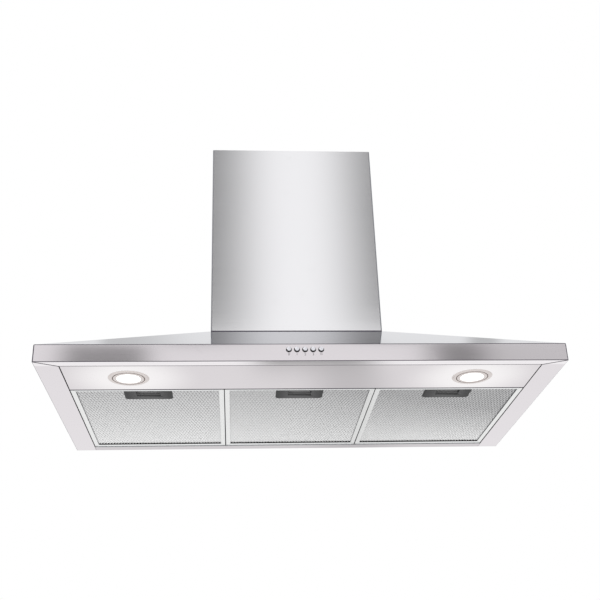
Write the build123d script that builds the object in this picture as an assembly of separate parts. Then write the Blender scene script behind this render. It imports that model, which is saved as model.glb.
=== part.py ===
from build123d import *
import os
from math import asin, atan2, cos, degrees, radians, sin, sqrt

# Wall-hung chimney canopy hood, 900 mm wide, in millimetres.
# X runs to the right, Y into the wall and Z up.
# The origin is on the wall plane, at the hood's middle, level with its underside.

# Overall form
HOOD_WIDTH = 900.0
HOOD_DEPTH = 500.0
FASCIA_HEIGHT = 31.0
CANOPY_HEIGHT = 130.0
CHIMNEY_HEIGHT = 412.0
CHIMNEY_SIDE_ROOM = 8.0
CHIMNEY_FRONT_ROOM = 34.0

# Sheet metal
SHEET = 1.0
CHIMNEY_SHEET = 0.8
CORNER_BEND = 2.5
CHIMNEY_SEAT_MARGIN = 3.0
SEAM = 0.6

# Underside borders, from the outer edge inwards
FRONT_LIP = 20.0
SIDE_STRIP = 40.0
REAR_STRIP = 22.0
LIP_RETURN = 9.0
LIGHT_PANEL_DEPTH = 111.5
PANEL_END_GAP = 2.0
FILTER_STOP_DEPTH = 7.0

# Chimney covers
TELESCOPE_GAP = 0.5
CHIMNEY_RETURN = 15.0
UPPER_CHIMNEY_RECESS = 2.0
VENT_COUNT = 5
VENT_LENGTH = 120.0
VENT_WIDTH = 8.0
VENT_PITCH = 18.0
VENT_TOP_MARGIN = 45.0
CHIMNEY_BRACKET_HEIGHT = 30.0
CHIMNEY_BRACKET_SHEET = 1.5
CHIMNEY_BRACKET_EAR = 22.0
CHIMNEY_BRACKET_DROP = 8.0
CHIMNEY_BRACKET_HOLE_SPACING = 200.0
CHIMNEY_BRACKET_HOLE_RADIUS = 3.25

# Wall fixing holes in the back panel
WALL_HOLE_RADIUS = 4.0
WALL_HOLE_SPACING = 220.0
WALL_HOLE_HEIGHT = 105.0

# Grease filters
FILTER_COUNT = 3
FILTER_GAP = 1.0
FILTER_THICKNESS = 9.0
FILTER_LIP = 2.0
FILTER_SIDE_BAR = 9.0
FILTER_FRONT_BAR = 11.0
FILTER_REAR_BAR = 12.0
MESH_THICKNESS = 5.0
MESH_GRIP = 4.0
FILTER_TAB_WIDTH = 30.0
FILTER_TAB_REACH = 8.0
FILTER_TAB_THICKNESS = 1.5
FILTER_TAB_INSET = 40.0
FILTER_REST_GAP = 0.3

# Filter latches
LATCH_WIDTH = 86.0
LATCH_DEPTH = 43.0
LATCH_WINDOW_WIDTH = 42.0
LATCH_WINDOW_DEPTH = 24.0
LATCH_FRONT_WALL = 3.0
LATCH_THICKNESS = 8.0
LATCH_TRAVEL = 5.0
LATCH_CLEARANCE = 0.3
SLIDER_FLOOR = 2.2
SLIDER_GRIP = 3.0
SLIDER_GRIP_RECESS = 0.5
TONGUE_WIDTH = 24.0
TONGUE_THICKNESS = 1.8
TONGUE_TIP_GAP = 0.5
CATCH_SLOT_MARGIN = 2.0

# Lamps
LAMP_SPACING = 600.0
LAMP_FROM_FRONT = 77.0
LAMP_RING_RADIUS = 35.5
LAMP_RING_PROUD = 1.4
LENS_RADIUS = 22.0
LENS_THICKNESS = 1.2
LAMP_BODY_RADIUS = 30.0
LAMP_BODY_HEIGHT = 22.0
LAMP_HOLE_CLEARANCE = 0.5
LAMP_CLIP_WIDTH = 9.0
LAMP_CLIP_SHEET = 0.7
LAMP_CLIP_REACH = 14.0
LAMP_CLIP_HEIGHT = 11.0
LAMP_CLIP_TOE = 4.0
DRIVER_LENGTH = 110.0
DRIVER_WIDTH = 42.0
DRIVER_HEIGHT = 24.0
DRIVER_FROM_CLIP = 26.0
DRIVER_TAB_REACH = 8.0
DRIVER_TAB_THICKNESS = 2.0

# Push buttons and their switch block
BUTTON_COUNT = 5
BUTTON_PITCH = 13.6
BUTTON_BELOW_FOLD = 10.5
BUTTON_RADIUS = 4.65
BUTTON_PROUD = 4.5
BUTTON_INBOARD = 2.5
BUTTON_TRAVEL = 3.0
BUTTON_HOLE_CLEARANCE = 0.4
STEM_SIDE = 4.0
STEM_LENGTH = 19.0
STEM_CLEARANCE = 0.3
STEM_END_ROOM = 0.6
SWITCH_FROM_CAP = 4.5
SWITCH_HEIGHT = 18.0
SWITCH_DEPTH = 31.0
SWITCH_END_MARGIN = 10.0
SWITCH_TAB_COUNT = 6
SWITCH_TAB_LENGTH = 7.0
SWITCH_TAB_HEIGHT = 6.0
SWITCH_TAB_SHEET = 0.8
SWITCH_BRACKET_SHEET = 1.0
SWITCH_BRACKET_FLANGE = 8.0

# Motor box on the canopy's top plate
MOTOR_BOX_WIDTH = 290.0
MOTOR_BOX_DEPTH = 272.0
MOTOR_BOX_HEIGHT = 250.0
MOTOR_BOX_FROM_WALL = 18.0
MOTOR_BOX_SHEET = 0.8
MOTOR_BOX_FOOT = 10.0
INTAKE_MARGIN = 6.0

# Blower housing: a volute of three quarter turns drawn from a small square
BLOWER_OFFSET = 2.0
VOLUTE_CLEARANCE = 12.0
VOLUTE_STEP = 12.0
VOLUTE_WALL = 2.5
VOLUTE_HALF_WIDTH = 65.0
VOLUTE_BASE_GAP = 8.0
NECK_OFFSET = 14.0
INLET_RADIUS = 64.0

# Impeller, shaft and motor
IMPELLER_RADIUS = 85.0
BLADE_DEPTH = 15.0
BLADE_COUNT = 20
BLADE_SWEEP = 12.0
BLADE_FOLDS = 2
BLADE_THICKNESS_ANGLE = 1.1
BLADE_HALF_LENGTH = 50.0
IMPELLER_LIP = 1.0
IMPELLER_RING_DEPTH = 2.0
IMPELLER_DISC = 2.0
HUB_RADIUS = 11.0
HUB_LENGTH = 20.0
HUB_GAP = 0.5
SHAFT_RADIUS = 4.0
SHAFT_CLEARANCE = 0.04
SHAFT_TAIL = 5.0
BEARING_SIDE = 15.0
BEARING_LENGTH = 9.0
MOTOR_END_WALL = 3.0
MOTOR_RADIUS = 45.0
MOTOR_GAP = 12.0
BRACKET_SHEET = 2.5
BRACKET_RIM = 8.0
BRACKET_ARM_WIDTH = 12.0
BRACKET_ARM_COUNT = 3
BRACKET_HUB_RADIUS = 24.0

# Outlet collar and its two non-return flaps
COLLAR_RADIUS = 74.5
COLLAR_WALL = 3.0
COLLAR_HEIGHT = 45.0
FLAP_PIN_HEIGHT = 16.0
FLAP_PIN_RADIUS = 2.0
FLAP_PIN_CLEARANCE = 0.06
FLAP_EDGE_GAP = 1.2
FLAP_THICKNESS = 1.5
FLAP_CLEARANCE = 0.6
KNUCKLE_SIDE = 6.0
KNUCKLE_LENGTH = 40.0
KNUCKLE_GAP = 0.5
KNUCKLE_COUNT = 2

# Electrical parts on top of the motor box
TERMINAL_BOX_WIDTH = 140.0
TERMINAL_BOX_DEPTH = 66.0
TERMINAL_BOX_HEIGHT = 34.0
TERMINAL_BOX_WALL = 2.0
TERMINAL_BOX_FROM_SIDE = 13.0
TERMINAL_BOX_FROM_FRONT = 14.0
TERMINAL_LID = 2.0
GLAND_BORE_RADIUS = 4.5
GLAND_RADIUS = 9.0
GLAND_CAP_RADIUS = 7.5
GLAND_HEIGHT = 16.0
GLAND_FLAT_HEIGHT = 6.0
GLAND_INSET = 26.0
CAPACITOR_LENGTH = 48.0
CAPACITOR_WIDTH = 22.0
CAPACITOR_HEIGHT = 34.0
CAPACITOR_GAP = 28.0
CAPACITOR_FOOT = 12.0
CAPACITOR_FOOT_SHEET = 1.5

# Square-necked bolts
BOLT_HEAD_RADIUS = 4.5
BOLT_HEAD_HEIGHT = 2.8
BOLT_NECK = 4.0
BOLT_TIP = 3.0
BOLT_INSET = 30.0

# Places worked out from the sizes above
half_width = HOOD_WIDTH / 2
front = -HOOD_DEPTH

box_rear = -MOTOR_BOX_FROM_WALL
box_front = box_rear - MOTOR_BOX_DEPTH
box_half_width = MOTOR_BOX_WIDTH / 2
box_top = CANOPY_HEIGHT + MOTOR_BOX_HEIGHT

# The chimney cover goes round the motor box and its feet
chimney_half_width = box_half_width + MOTOR_BOX_FOOT + CHIMNEY_SIDE_ROOM
chimney_depth = CHIMNEY_FRONT_ROOM - box_front
seat_half_width = chimney_half_width + CHIMNEY_SEAT_MARGIN
seat_depth = chimney_depth + CHIMNEY_SEAT_MARGIN
roof_rise = CANOPY_HEIGHT - FASCIA_HEIGHT
side_slope = atan2(roof_rise, half_width - seat_half_width)
front_slope = atan2(roof_rise, HOOD_DEPTH - seat_depth)
chimney_top = CANOPY_HEIGHT + CHIMNEY_HEIGHT

opening_half_width = half_width - SIDE_STRIP
panel_front = front + FRONT_LIP
panel_rear = panel_front + LIGHT_PANEL_DEPTH
rear_strip_front = -REAR_STRIP
lamp_y = front + LAMP_FROM_FRONT
lamp_places = [(side * LAMP_SPACING / 2, lamp_y) for side in (-1, 1)]

filter_width = (2 * opening_half_width - (FILTER_COUNT + 1) * FILTER_GAP) / FILTER_COUNT
filter_front = panel_rear + FILTER_GAP
filter_rear = rear_strip_front - FILTER_GAP
filter_base = SHEET
filter_top = filter_base + FILTER_THICKNESS
mesh_base = filter_base + FILTER_LIP

# The blower's axis runs along X, and its housing sits near the middle of the motor box
volute_radius = IMPELLER_RADIUS + IMPELLER_LIP + VOLUTE_CLEARANCE
neck_rear = volute_radius + 2.5 * VOLUTE_STEP
scroll_front = volute_radius + VOLUTE_STEP / 2
axis_y = (box_front + box_rear) / 2 - BLOWER_OFFSET - (neck_rear - scroll_front) / 2
axis_z = CANOPY_HEIGHT + VOLUTE_BASE_GAP + VOLUTE_WALL + volute_radius + 1.5 * VOLUTE_STEP
neck_top = box_top - MOTOR_BOX_SHEET - axis_z
collar_y = axis_y + (neck_rear - NECK_OFFSET) / 2
volute_side = VOLUTE_HALF_WIDTH + VOLUTE_WALL
motor_end = -volute_side
bore_start = motor_end + MOTOR_END_WALL
motor_nose = -MOTOR_GAP
blower_plane = Plane(origin=(0, axis_y, axis_z), x_dir=(0, 1, 0), z_dir=(1, 0, 0))

button_z = FASCIA_HEIGHT - BUTTON_BELOW_FOLD
button_hole_radius = BUTTON_RADIUS + BUTTON_HOLE_CLEARANCE
cap_back = front + BUTTON_INBOARD
switch_front = cap_back + SWITCH_FROM_CAP
switch_rear = switch_front + SWITCH_DEPTH
switch_half_width = (BUTTON_COUNT - 1) * BUTTON_PITCH / 2 + SWITCH_END_MARGIN
button_places = [(n - (BUTTON_COUNT - 1) / 2) * BUTTON_PITCH for n in range(BUTTON_COUNT)]


def block(x, y, z):
    """A box from its spans along X, Y and Z."""
    spans = (x, y, z)
    size = [high - low for low, high in spans]
    centre = [(high + low) / 2 for low, high in spans]
    return Pos(*centre) * Box(*size)


def upright(radius, z, at=(0.0, 0.0)):
    """A round bar along Z."""
    return Pos(at[0], at[1], (z[0] + z[1]) / 2) * Cylinder(radius, z[1] - z[0])


def square_bar(side, z, at=(0.0, 0.0)):
    """A square bar along Z."""
    half = side / 2
    return block((at[0] - half, at[0] + half), (at[1] - half, at[1] + half), z)


def crossbar(radius, x, y, z):
    """A round bar along X."""
    return Pos((x[0] + x[1]) / 2, y, z) * Rot(0, 90, 0) * Cylinder(radius, x[1] - x[0])


def lengthways(radius, x, y, z):
    """A round bar along Y."""
    return Pos(x, (y[0] + y[1]) / 2, z) * Rot(90, 0, 0) * Cylinder(radius, y[1] - y[0])


def slab(plane, outline, depth):
    """A closed outline of points on a plane, made solid along the plane's normal."""
    return extrude(plane * make_face(Polyline(*outline, close=True)), depth, dir=plane.z_dir)


def mirrored(shape):
    """The same shape on the other side of the hood's middle plane."""
    return mirror(shape, about=Plane.YZ)


def save(name, shapes):
    """Write one sub-part; a list of solids is written as one group."""
    solids = shapes if isinstance(shapes, list) else [shapes]
    group = Compound(children=[solid for shape in solids for solid in shape.solids()])
    export_step(group, f"parts/{name}.step")


def square_neck_bolt(grip):
    """A hexagon-head bolt along Z: its head sits on z = 0 and its square neck hangs below."""
    head = extrude(RegularPolygon(BOLT_HEAD_RADIUS, 6), BOLT_HEAD_HEIGHT)
    return head + square_bar(BOLT_NECK, (-grip - BOLT_TIP, 0))


def canopy_envelope(inset):
    """The canopy's form drawn in by inset, cut from its front, side and top views."""

    def shoulder(slope):
        return FASCIA_HEIGHT - inset * (1 - sin(slope)) / cos(slope)

    def head(seat, slope):
        return seat - inset * (1 - cos(slope)) / sin(slope)

    top = CANOPY_HEIGHT - inset
    side = half_width - inset
    nose = front + inset
    head_x = head(seat_half_width, side_slope)
    front_outline = [(-side, 0), (side, 0), (side, shoulder(side_slope)), (head_x, top)]
    front_outline += [(-head_x, top), (-side, shoulder(side_slope))]
    front_plane = Plane(origin=(0, 0, 0), x_dir=(1, 0, 0), z_dir=(0, -1, 0))
    front_view = slab(front_plane, front_outline, HOOD_DEPTH)
    side_outline = [(0, 0), (0, top), (-head(seat_depth, front_slope), top)]
    side_outline += [(nose, shoulder(front_slope)), (nose, 0)]
    side_plane = Plane(origin=(-half_width, 0, 0), x_dir=(0, 1, 0), z_dir=(1, 0, 0))
    side_view = slab(side_plane, side_outline, HOOD_WIDTH)
    plan = Pos(0, nose / 2) * Rectangle(2 * side, -nose)
    plan = fillet(plan.vertices().group_by(Axis.Y)[0], CORNER_BEND - inset)
    return front_view & side_view & extrude(plan, CANOPY_HEIGHT)


def foot_bolt_places():
    """Centres of the four bolts through the motor box's feet."""
    x = box_half_width + MOTOR_BOX_FOOT / 2
    return [(side * x, y) for side in (-1, 1) for y in (box_front + BOLT_INSET, box_rear - BOLT_INSET)]


def mitre_slit(side):
    """The open seam where the front lip meets a side strip."""
    run = SIDE_STRIP - SHEET
    reach = FRONT_LIP * run / SIDE_STRIP
    length = sqrt(run**2 + reach**2) + SEAM
    angle = degrees(atan2(FRONT_LIP, SIDE_STRIP))
    slit = Pos(length / 2, 0, 0) * Box(length, SEAM, 2 * SHEET)
    start_y = front + FRONT_LIP - reach
    placed = Pos(-half_width + SHEET, start_y, SHEET / 2) * Rot(0, 0, angle) * slit
    return placed if side < 0 else mirrored(placed)


def canopy_shell():
    """Folded pyramid skin with its fascia, front lip and side strips."""
    shell = canopy_envelope(0) - canopy_envelope(SHEET)
    inner_x = opening_half_width
    lips = block((-half_width + SHEET, half_width - SHEET), (front + SHEET, -SHEET), (0, SHEET))
    lips -= block((-inner_x, inner_x), (panel_front, 0), (0, SHEET))
    lips &= canopy_envelope(SHEET)
    return_z = (SHEET, SHEET + LIP_RETURN)
    return_start = panel_front - SHEET
    front_return = block((-inner_x, inner_x), (return_start, panel_front), return_z)
    side_return = block((inner_x, inner_x + SHEET), (return_start, rear_strip_front), return_z)
    shell = shell + lips + front_return + side_return + mirrored(side_return)
    shell -= mitre_slit(-1) + mitre_slit(1)
    margin = MOTOR_BOX_SHEET + INTAKE_MARGIN
    intake = block(
        (-box_half_width + margin, box_half_width - margin),
        (box_front + margin, box_rear - margin),
        (CANOPY_HEIGHT - 2 * SHEET, CANOPY_HEIGHT + SHEET),
    )
    shell -= intake
    for x in button_places:
        shell -= lengthways(button_hole_radius, x, (front - SHEET, front + 2 * SHEET), button_z)
    for at in foot_bolt_places():
        shell -= square_bar(BOLT_NECK, (CANOPY_HEIGHT - SHEET, CANOPY_HEIGHT), at)
    return shell


def back_panel():
    """Rear sheet that stands on the wall, folded forward into the rear strip."""
    wall_side = block((-half_width, half_width), (-SHEET, 0), (0, CANOPY_HEIGHT))
    panel = canopy_envelope(SHEET) & wall_side
    panel += block(
        (-opening_half_width + SEAM, opening_half_width - SEAM),
        (rear_strip_front, -SHEET),
        (0, SHEET),
    )
    for x in (-WALL_HOLE_SPACING / 2, WALL_HOLE_SPACING / 2):
        panel -= lengthways(WALL_HOLE_RADIUS, x, (-SHEET, 0), WALL_HOLE_HEIGHT)
    return panel


def filter_centres():
    """The middle of each filter along X, from left to right."""
    pitch = filter_width + FILTER_GAP
    return [(n - (FILTER_COUNT - 1) / 2) * pitch for n in range(FILTER_COUNT)]


tongue_base = filter_base + LATCH_THICKNESS - SLIDER_FLOOR
stop_base = filter_top + FILTER_REST_GAP


def light_panel():
    """Front panel of the underside, with the lamp holes and the filters' catch flange."""
    end = opening_half_width - PANEL_END_GAP
    start = panel_front + SEAM
    panel = block((-end, end), (start, panel_rear), (0, SHEET))
    flange_z = (SHEET, SHEET + LIP_RETURN)
    front_flange = block((-end, end), (panel_front, panel_front + SHEET), flange_z)
    web = block((-end, end), (panel_front, start + SHEET), (SHEET - SEAM, SHEET))
    catch = block(
        (-opening_half_width, opening_half_width),
        (panel_rear - SHEET, panel_rear),
        (SHEET, stop_base + SHEET),
    )
    stop = block(
        (-end, end), (panel_rear, panel_rear + FILTER_STOP_DEPTH), (stop_base, stop_base + SHEET)
    )
    panel = panel + web + front_flange + catch + stop
    slot_half = TONGUE_WIDTH / 2 + CATCH_SLOT_MARGIN
    for x in filter_centres():
        panel -= block(
            (x - slot_half, x + slot_half),
            (panel_rear - 2 * SHEET, panel_rear),
            (tongue_base - CATCH_SLOT_MARGIN / 2, tongue_base + TONGUE_THICKNESS + SHEET),
        )
    for at in lamp_places:
        panel -= upright(LAMP_BODY_RADIUS + LAMP_HOLE_CLEARANCE, (0, SHEET), at)
    return panel


def turned(points, at):
    """A profile of (radius, height) points turned about a vertical axis."""
    profile = Plane.XZ * make_face(Polyline(*points, close=True))
    return Pos(at[0], at[1], 0) * revolve(profile, Axis.Z)


def lamp_ring(at):
    """Round trim ring pressed from sheet, with a sloping outer edge."""
    rim = -LAMP_RING_PROUD
    slope = LAMP_RING_RADIUS - LAMP_RING_PROUD
    outline = [(LENS_RADIUS, 0), (LENS_RADIUS, rim), (slope, rim), (LAMP_RING_RADIUS, 0)]
    return turned(outline, at)


def lamp_lens(at):
    """Frosted disc inside the ring, a little behind its face."""
    return upright(LENS_RADIUS, (-LENS_THICKNESS, 0), at)


def lamp_body(at):
    """Aluminium heat sink behind the lens, standing through the light panel's hole."""
    return upright(LAMP_BODY_RADIUS, (0, LAMP_BODY_HEIGHT), at)


def lamp_clip(at, side):
    """Spring leaf that presses the lamp down onto the light panel."""
    top = LAMP_CLIP_HEIGHT
    far = LAMP_BODY_RADIUS + LAMP_CLIP_REACH
    leaf = LAMP_CLIP_SHEET
    outline = [
        (LAMP_BODY_RADIUS, top),
        (LAMP_BODY_RADIUS, top - LAMP_CLIP_TOE),
        (LAMP_BODY_RADIUS + leaf, top - LAMP_CLIP_TOE),
        (LAMP_BODY_RADIUS + leaf, top - leaf),
        (far - LAMP_CLIP_TOE, SHEET),
        (far, SHEET),
        (far, SHEET + leaf),
        (far - LAMP_CLIP_TOE + leaf, SHEET + leaf),
        (LAMP_BODY_RADIUS + 2 * leaf, top),
    ]
    leaf_plane = Plane(origin=(0, LAMP_CLIP_WIDTH / 2, 0), x_dir=(1, 0, 0), z_dir=(0, -1, 0))
    clip = slab(leaf_plane, outline, LAMP_CLIP_WIDTH) - upright(LAMP_BODY_RADIUS, (0, top))
    return Pos(at[0], at[1], 0) * (clip if side > 0 else mirrored(clip))


def lamp_driver():
    """Plastic case of the lamp supply, standing on the light panel, with end tabs."""
    end = LAMP_SPACING / 2 - LAMP_BODY_RADIUS - LAMP_CLIP_REACH - DRIVER_FROM_CLIP
    x = (end - DRIVER_LENGTH, end)
    y = (lamp_y - DRIVER_WIDTH / 2, lamp_y + DRIVER_WIDTH / 2)
    case = block(x, y, (SHEET, SHEET + DRIVER_HEIGHT))
    tab_y = (lamp_y - DRIVER_WIDTH / 4, lamp_y + DRIVER_WIDTH / 4)
    tab_x = (x[0] - DRIVER_TAB_REACH, x[1] + DRIVER_TAB_REACH)
    return case + block(tab_x, tab_y, (SHEET, SHEET + DRIVER_TAB_THICKNESS))


def filter_frame(centre):
    """Aluminium channel frame round the mesh, with rear tabs and the latch tongue's slot."""
    x = (centre - filter_width / 2, centre + filter_width / 2)
    frame = block(x, (filter_front, filter_rear), (filter_base, filter_top))
    window_x = (x[0] + FILTER_SIDE_BAR, x[1] - FILTER_SIDE_BAR)
    window_y = (filter_front + FILTER_FRONT_BAR, filter_rear - FILTER_REAR_BAR)
    frame -= block(window_x, window_y, (filter_base, filter_top))
    frame -= mesh_blank(centre)
    for side in (-1, 1):
        tab = side * (filter_width / 2 - FILTER_TAB_INSET)
        tab_base = filter_base + FILTER_REST_GAP
        frame += block(
            (centre + tab - FILTER_TAB_WIDTH / 2, centre + tab + FILTER_TAB_WIDTH / 2),
            (filter_rear, rear_strip_front + FILTER_TAB_REACH),
            (tab_base, tab_base + FILTER_TAB_THICKNESS),
        )
    slot_half = TONGUE_WIDTH / 2 + LATCH_CLEARANCE
    frame -= block(
        (centre - slot_half, centre + slot_half),
        (filter_front, filter_front + FILTER_FRONT_BAR),
        (tongue_base - LATCH_CLEARANCE, tongue_base + TONGUE_THICKNESS + LATCH_CLEARANCE),
    )
    return frame


def mesh_blank(centre):
    """The space of the layered mesh, held all round in the frame's channel."""
    side = filter_width / 2 - FILTER_SIDE_BAR + MESH_GRIP
    y = (
        filter_front + FILTER_FRONT_BAR - MESH_GRIP,
        filter_rear - FILTER_REAR_BAR + MESH_GRIP,
    )
    return block((centre - side, centre + side), y, (mesh_base, mesh_base + MESH_THICKNESS))


def latch_blank(centre):
    """Outer form of the latch plate, flush with the frame's underside."""
    return block(
        (centre - LATCH_WIDTH / 2, centre + LATCH_WIDTH / 2),
        (filter_front + FILTER_FRONT_BAR, filter_front + FILTER_FRONT_BAR + LATCH_DEPTH),
        (filter_base, filter_base + LATCH_THICKNESS),
    )


def filter_mesh(centre):
    """Layered expanded mesh, cut out round the latch plate."""
    mesh = mesh_blank(centre)
    front_y = filter_front + FILTER_FRONT_BAR
    mesh -= latch_blank(centre)
    slot_half = TONGUE_WIDTH / 2 + LATCH_CLEARANCE
    mesh -= block((centre - slot_half, centre + slot_half), (filter_front, front_y), (0, filter_top))
    return mesh


window_front = filter_front + FILTER_FRONT_BAR + LATCH_FRONT_WALL


def latch_plate(centre):
    """Dark plastic plate with the window that the slider runs in."""
    plate = latch_blank(centre)
    window_half = LATCH_WINDOW_WIDTH / 2
    roof = filter_base + LATCH_THICKNESS
    plate -= block(
        (centre - window_half, centre + window_half),
        (window_front, window_front + LATCH_WINDOW_DEPTH),
        (filter_base, roof),
    )
    slot_half = TONGUE_WIDTH / 2 + LATCH_CLEARANCE
    plate -= block(
        (centre - slot_half, centre + slot_half),
        (window_front - LATCH_FRONT_WALL, window_front),
        (tongue_base - LATCH_CLEARANCE, roof),
    )
    return plate


def latch_slider(centre):
    """Finger pull that slides back against its moulded spring, and its tongue."""
    half = LATCH_WINDOW_WIDTH / 2 - LATCH_CLEARANCE
    near = window_front + LATCH_CLEARANCE
    far = window_front + LATCH_WINDOW_DEPTH - LATCH_TRAVEL - LATCH_CLEARANCE
    top = filter_base + LATCH_THICKNESS
    slider = block((centre - half, centre + half), (near, far), (top - SLIDER_FLOOR, top))
    grip_z = (filter_base + SLIDER_GRIP_RECESS, top)
    slider += block((centre - half, centre + half), (far - SLIDER_GRIP, far), grip_z)
    slider += block(
        (centre - TONGUE_WIDTH / 2, centre + TONGUE_WIDTH / 2),
        (panel_rear + TONGUE_TIP_GAP, near),
        (tongue_base, tongue_base + TONGUE_THICKNESS),
    )
    return slider


def button(x):
    """Push button with a round cap and a square stem that runs in the switch block."""
    cap = lengthways(BUTTON_RADIUS, x, (front - BUTTON_PROUD, cap_back), button_z)
    half = STEM_SIDE / 2
    stem_z = (button_z - half, button_z + half)
    return cap + block((x - half, x + half), (cap_back, cap_back + STEM_LENGTH), stem_z)


def switch_block():
    """Five-way push switch with a blind guide slot for each stem and solder tabs behind."""
    z = (button_z - SWITCH_HEIGHT / 2, button_z + SWITCH_HEIGHT / 2)
    case = block((-switch_half_width, switch_half_width), (switch_front, switch_rear), z)
    slot_end = cap_back + STEM_LENGTH + BUTTON_TRAVEL + STEM_END_ROOM
    half = STEM_SIDE / 2 + STEM_CLEARANCE
    for x in button_places:
        stem_z = (button_z - half, button_z + half)
        case -= block((x - half, x + half), (switch_front, slot_end), stem_z)
    pitch = 2 * switch_half_width / SWITCH_TAB_COUNT
    tab_y = (switch_rear, switch_rear + SWITCH_TAB_LENGTH)
    tab_z = (button_z - SWITCH_TAB_HEIGHT / 2, button_z + SWITCH_TAB_HEIGHT / 2)
    for n in range(SWITCH_TAB_COUNT):
        x = -switch_half_width + (n + 0.5) * pitch
        case += block((x - SWITCH_TAB_SHEET / 2, x + SWITCH_TAB_SHEET / 2), tab_y, tab_z)
    return case


def switch_bracket():
    """Folded holder behind the fascia that carries the switch block by its ends."""
    inner = switch_half_width
    sheet = SWITCH_BRACKET_SHEET
    outer = inner + sheet
    z = (button_z - SWITCH_HEIGHT / 2, button_z + SWITCH_HEIGHT / 2 - sheet)
    back = front + SHEET
    plate = block((-outer, outer), (back, back + sheet), z)
    flange = SWITCH_BRACKET_FLANGE
    plate += block((-outer - flange, -outer), (back, back + sheet), z)
    plate += block((outer, outer + flange), (back, back + sheet), z)
    cheek = block((inner, outer), (back, switch_rear), z)
    plate = plate + cheek + mirrored(cheek)
    window = button_places[-1] + button_hole_radius
    window_z = (button_z - button_hole_radius, button_z + button_hole_radius)
    return plate - block((-window, window), (back, back + sheet), window_z)


def motor_box():
    """Galvanised box on the canopy that holds the blower and carries the duct collar."""
    sheet = MOTOR_BOX_SHEET
    outer_x = (-box_half_width, box_half_width)
    box = block(outer_x, (box_front, box_rear), (CANOPY_HEIGHT, box_top))
    box -= block(
        (-box_half_width + sheet, box_half_width - sheet),
        (box_front + sheet, box_rear - sheet),
        (CANOPY_HEIGHT, box_top - sheet),
    )
    foot = block(
        (box_half_width, box_half_width + MOTOR_BOX_FOOT),
        (box_front, box_rear),
        (CANOPY_HEIGHT, CANOPY_HEIGHT + sheet),
    )
    box = box + foot + mirrored(foot)
    box -= upright(COLLAR_RADIUS - COLLAR_WALL, (box_top - 2 * sheet, box_top + sheet), (0, collar_y))
    for at in foot_bolt_places():
        box -= square_bar(BOLT_NECK, (CANOPY_HEIGHT, CANOPY_HEIGHT + sheet), at)
    return box


def foot_bolts():
    """Bolts through the motor box's feet into the canopy's top plate."""
    bolt = square_neck_bolt(MOTOR_BOX_SHEET + SHEET)
    return [Pos(x, y, CANOPY_HEIGHT + MOTOR_BOX_SHEET) * bolt for x, y in foot_bolt_places()]


def volute_outline(grow):
    """The volute's side view, drawn out by grow: three quarter arcs and the straight neck."""
    half_step = VOLUTE_STEP / 2
    radii = [volute_radius + n * VOLUTE_STEP + grow for n in range(3)]
    centres = [(-half_step, -half_step), (half_step, -half_step), (half_step, half_step)]
    tongue_y = -(NECK_OFFSET + grow)
    start = 90 + degrees(asin((centres[0][0] - tongue_y) / radii[0]))
    first = CenterArc(centres[0], radii[0], start, 180 - start)
    second = CenterArc(centres[1], radii[1], 180, 90)
    third = CenterArc(centres[2], radii[2], 270, 90)
    rear = centres[2][0] + radii[2]
    neck = Polyline(third @ 1, (rear, neck_top), (tongue_y, neck_top), first @ 0)
    return blower_plane * make_face(first + second + third + neck)


def along_axis(sketch, x):
    """A sketch in the blower's plane made solid over a span of X."""
    return Pos(x[0], 0, 0) * extrude(sketch, x[1] - x[0], dir=(1, 0, 0))


def volute_half(side):
    """One pressed half of the blower housing: its share of the scroll and a side plate."""
    inner = VOLUTE_HALF_WIDTH
    shell = along_axis(volute_outline(VOLUTE_WALL), (0, volute_side))
    shell -= along_axis(volute_outline(0), (0, inner))
    neck = neck_top + axis_z
    shell -= block(
        (0, inner),
        (axis_y - NECK_OFFSET, axis_y + neck_rear),
        (neck - VOLUTE_WALL, neck + VOLUTE_WALL),
    )
    shell -= crossbar(INLET_RADIUS, (inner, volute_side), axis_y, axis_z)
    return shell if side > 0 else mirrored(shell)


def motor_bracket():
    """Flat three-armed plate across the left inlet that carries the motor."""
    reach = INLET_RADIUS + BRACKET_RIM
    half_turn = degrees(atan2(BRACKET_ARM_WIDTH / 2, reach))
    outline = []
    for n in range(BRACKET_ARM_COUNT):
        arm = 90 + n * 360 / BRACKET_ARM_COUNT
        outline += [polar(reach, arm - half_turn), polar(reach, arm + half_turn)]
        outline.append(polar(BRACKET_HUB_RADIUS, arm + 180 / BRACKET_ARM_COUNT))
    plate = blower_plane * make_face(Polyline(*outline, close=True))
    return along_axis(plate, (motor_end - BRACKET_SHEET, motor_end))


def motor_case():
    """Round motor with a square pocket in its nose for its bearings and shaft."""
    case = crossbar(MOTOR_RADIUS, (motor_end, motor_nose), axis_y, axis_z)
    return case - bearing_blank((bore_start, motor_nose))


def bearing_blank(x):
    """A square bar along the blower's axis, the form of a bearing block."""
    half = BEARING_SIDE / 2
    return block(x, (axis_y - half, axis_y + half), (axis_z - half, axis_z + half))


def motor_bearings():
    """Two square bearing blocks with round bores, one at each end of the motor's pocket."""
    blocks = bearing_blank((bore_start, bore_start + BEARING_LENGTH))
    blocks += bearing_blank((motor_nose - BEARING_LENGTH, motor_nose))
    bore = SHAFT_RADIUS + SHAFT_CLEARANCE
    return blocks - crossbar(bore, (bore_start, motor_nose), axis_y, axis_z)


hub_start = motor_nose + HUB_GAP


def fan_shaft():
    """Steel shaft from the motor's tail bearing to just past the impeller's hub."""
    x = (bore_start + HUB_GAP, hub_start + HUB_LENGTH + SHAFT_TAIL)
    return crossbar(SHAFT_RADIUS, x, axis_y, axis_z)


def polar(radius, angle):
    """A point in the blower's plane from its radius and its angle in degrees."""
    return (radius * cos(radians(angle)), radius * sin(radians(angle)))


blade_root = IMPELLER_RADIUS - BLADE_DEPTH


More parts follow.
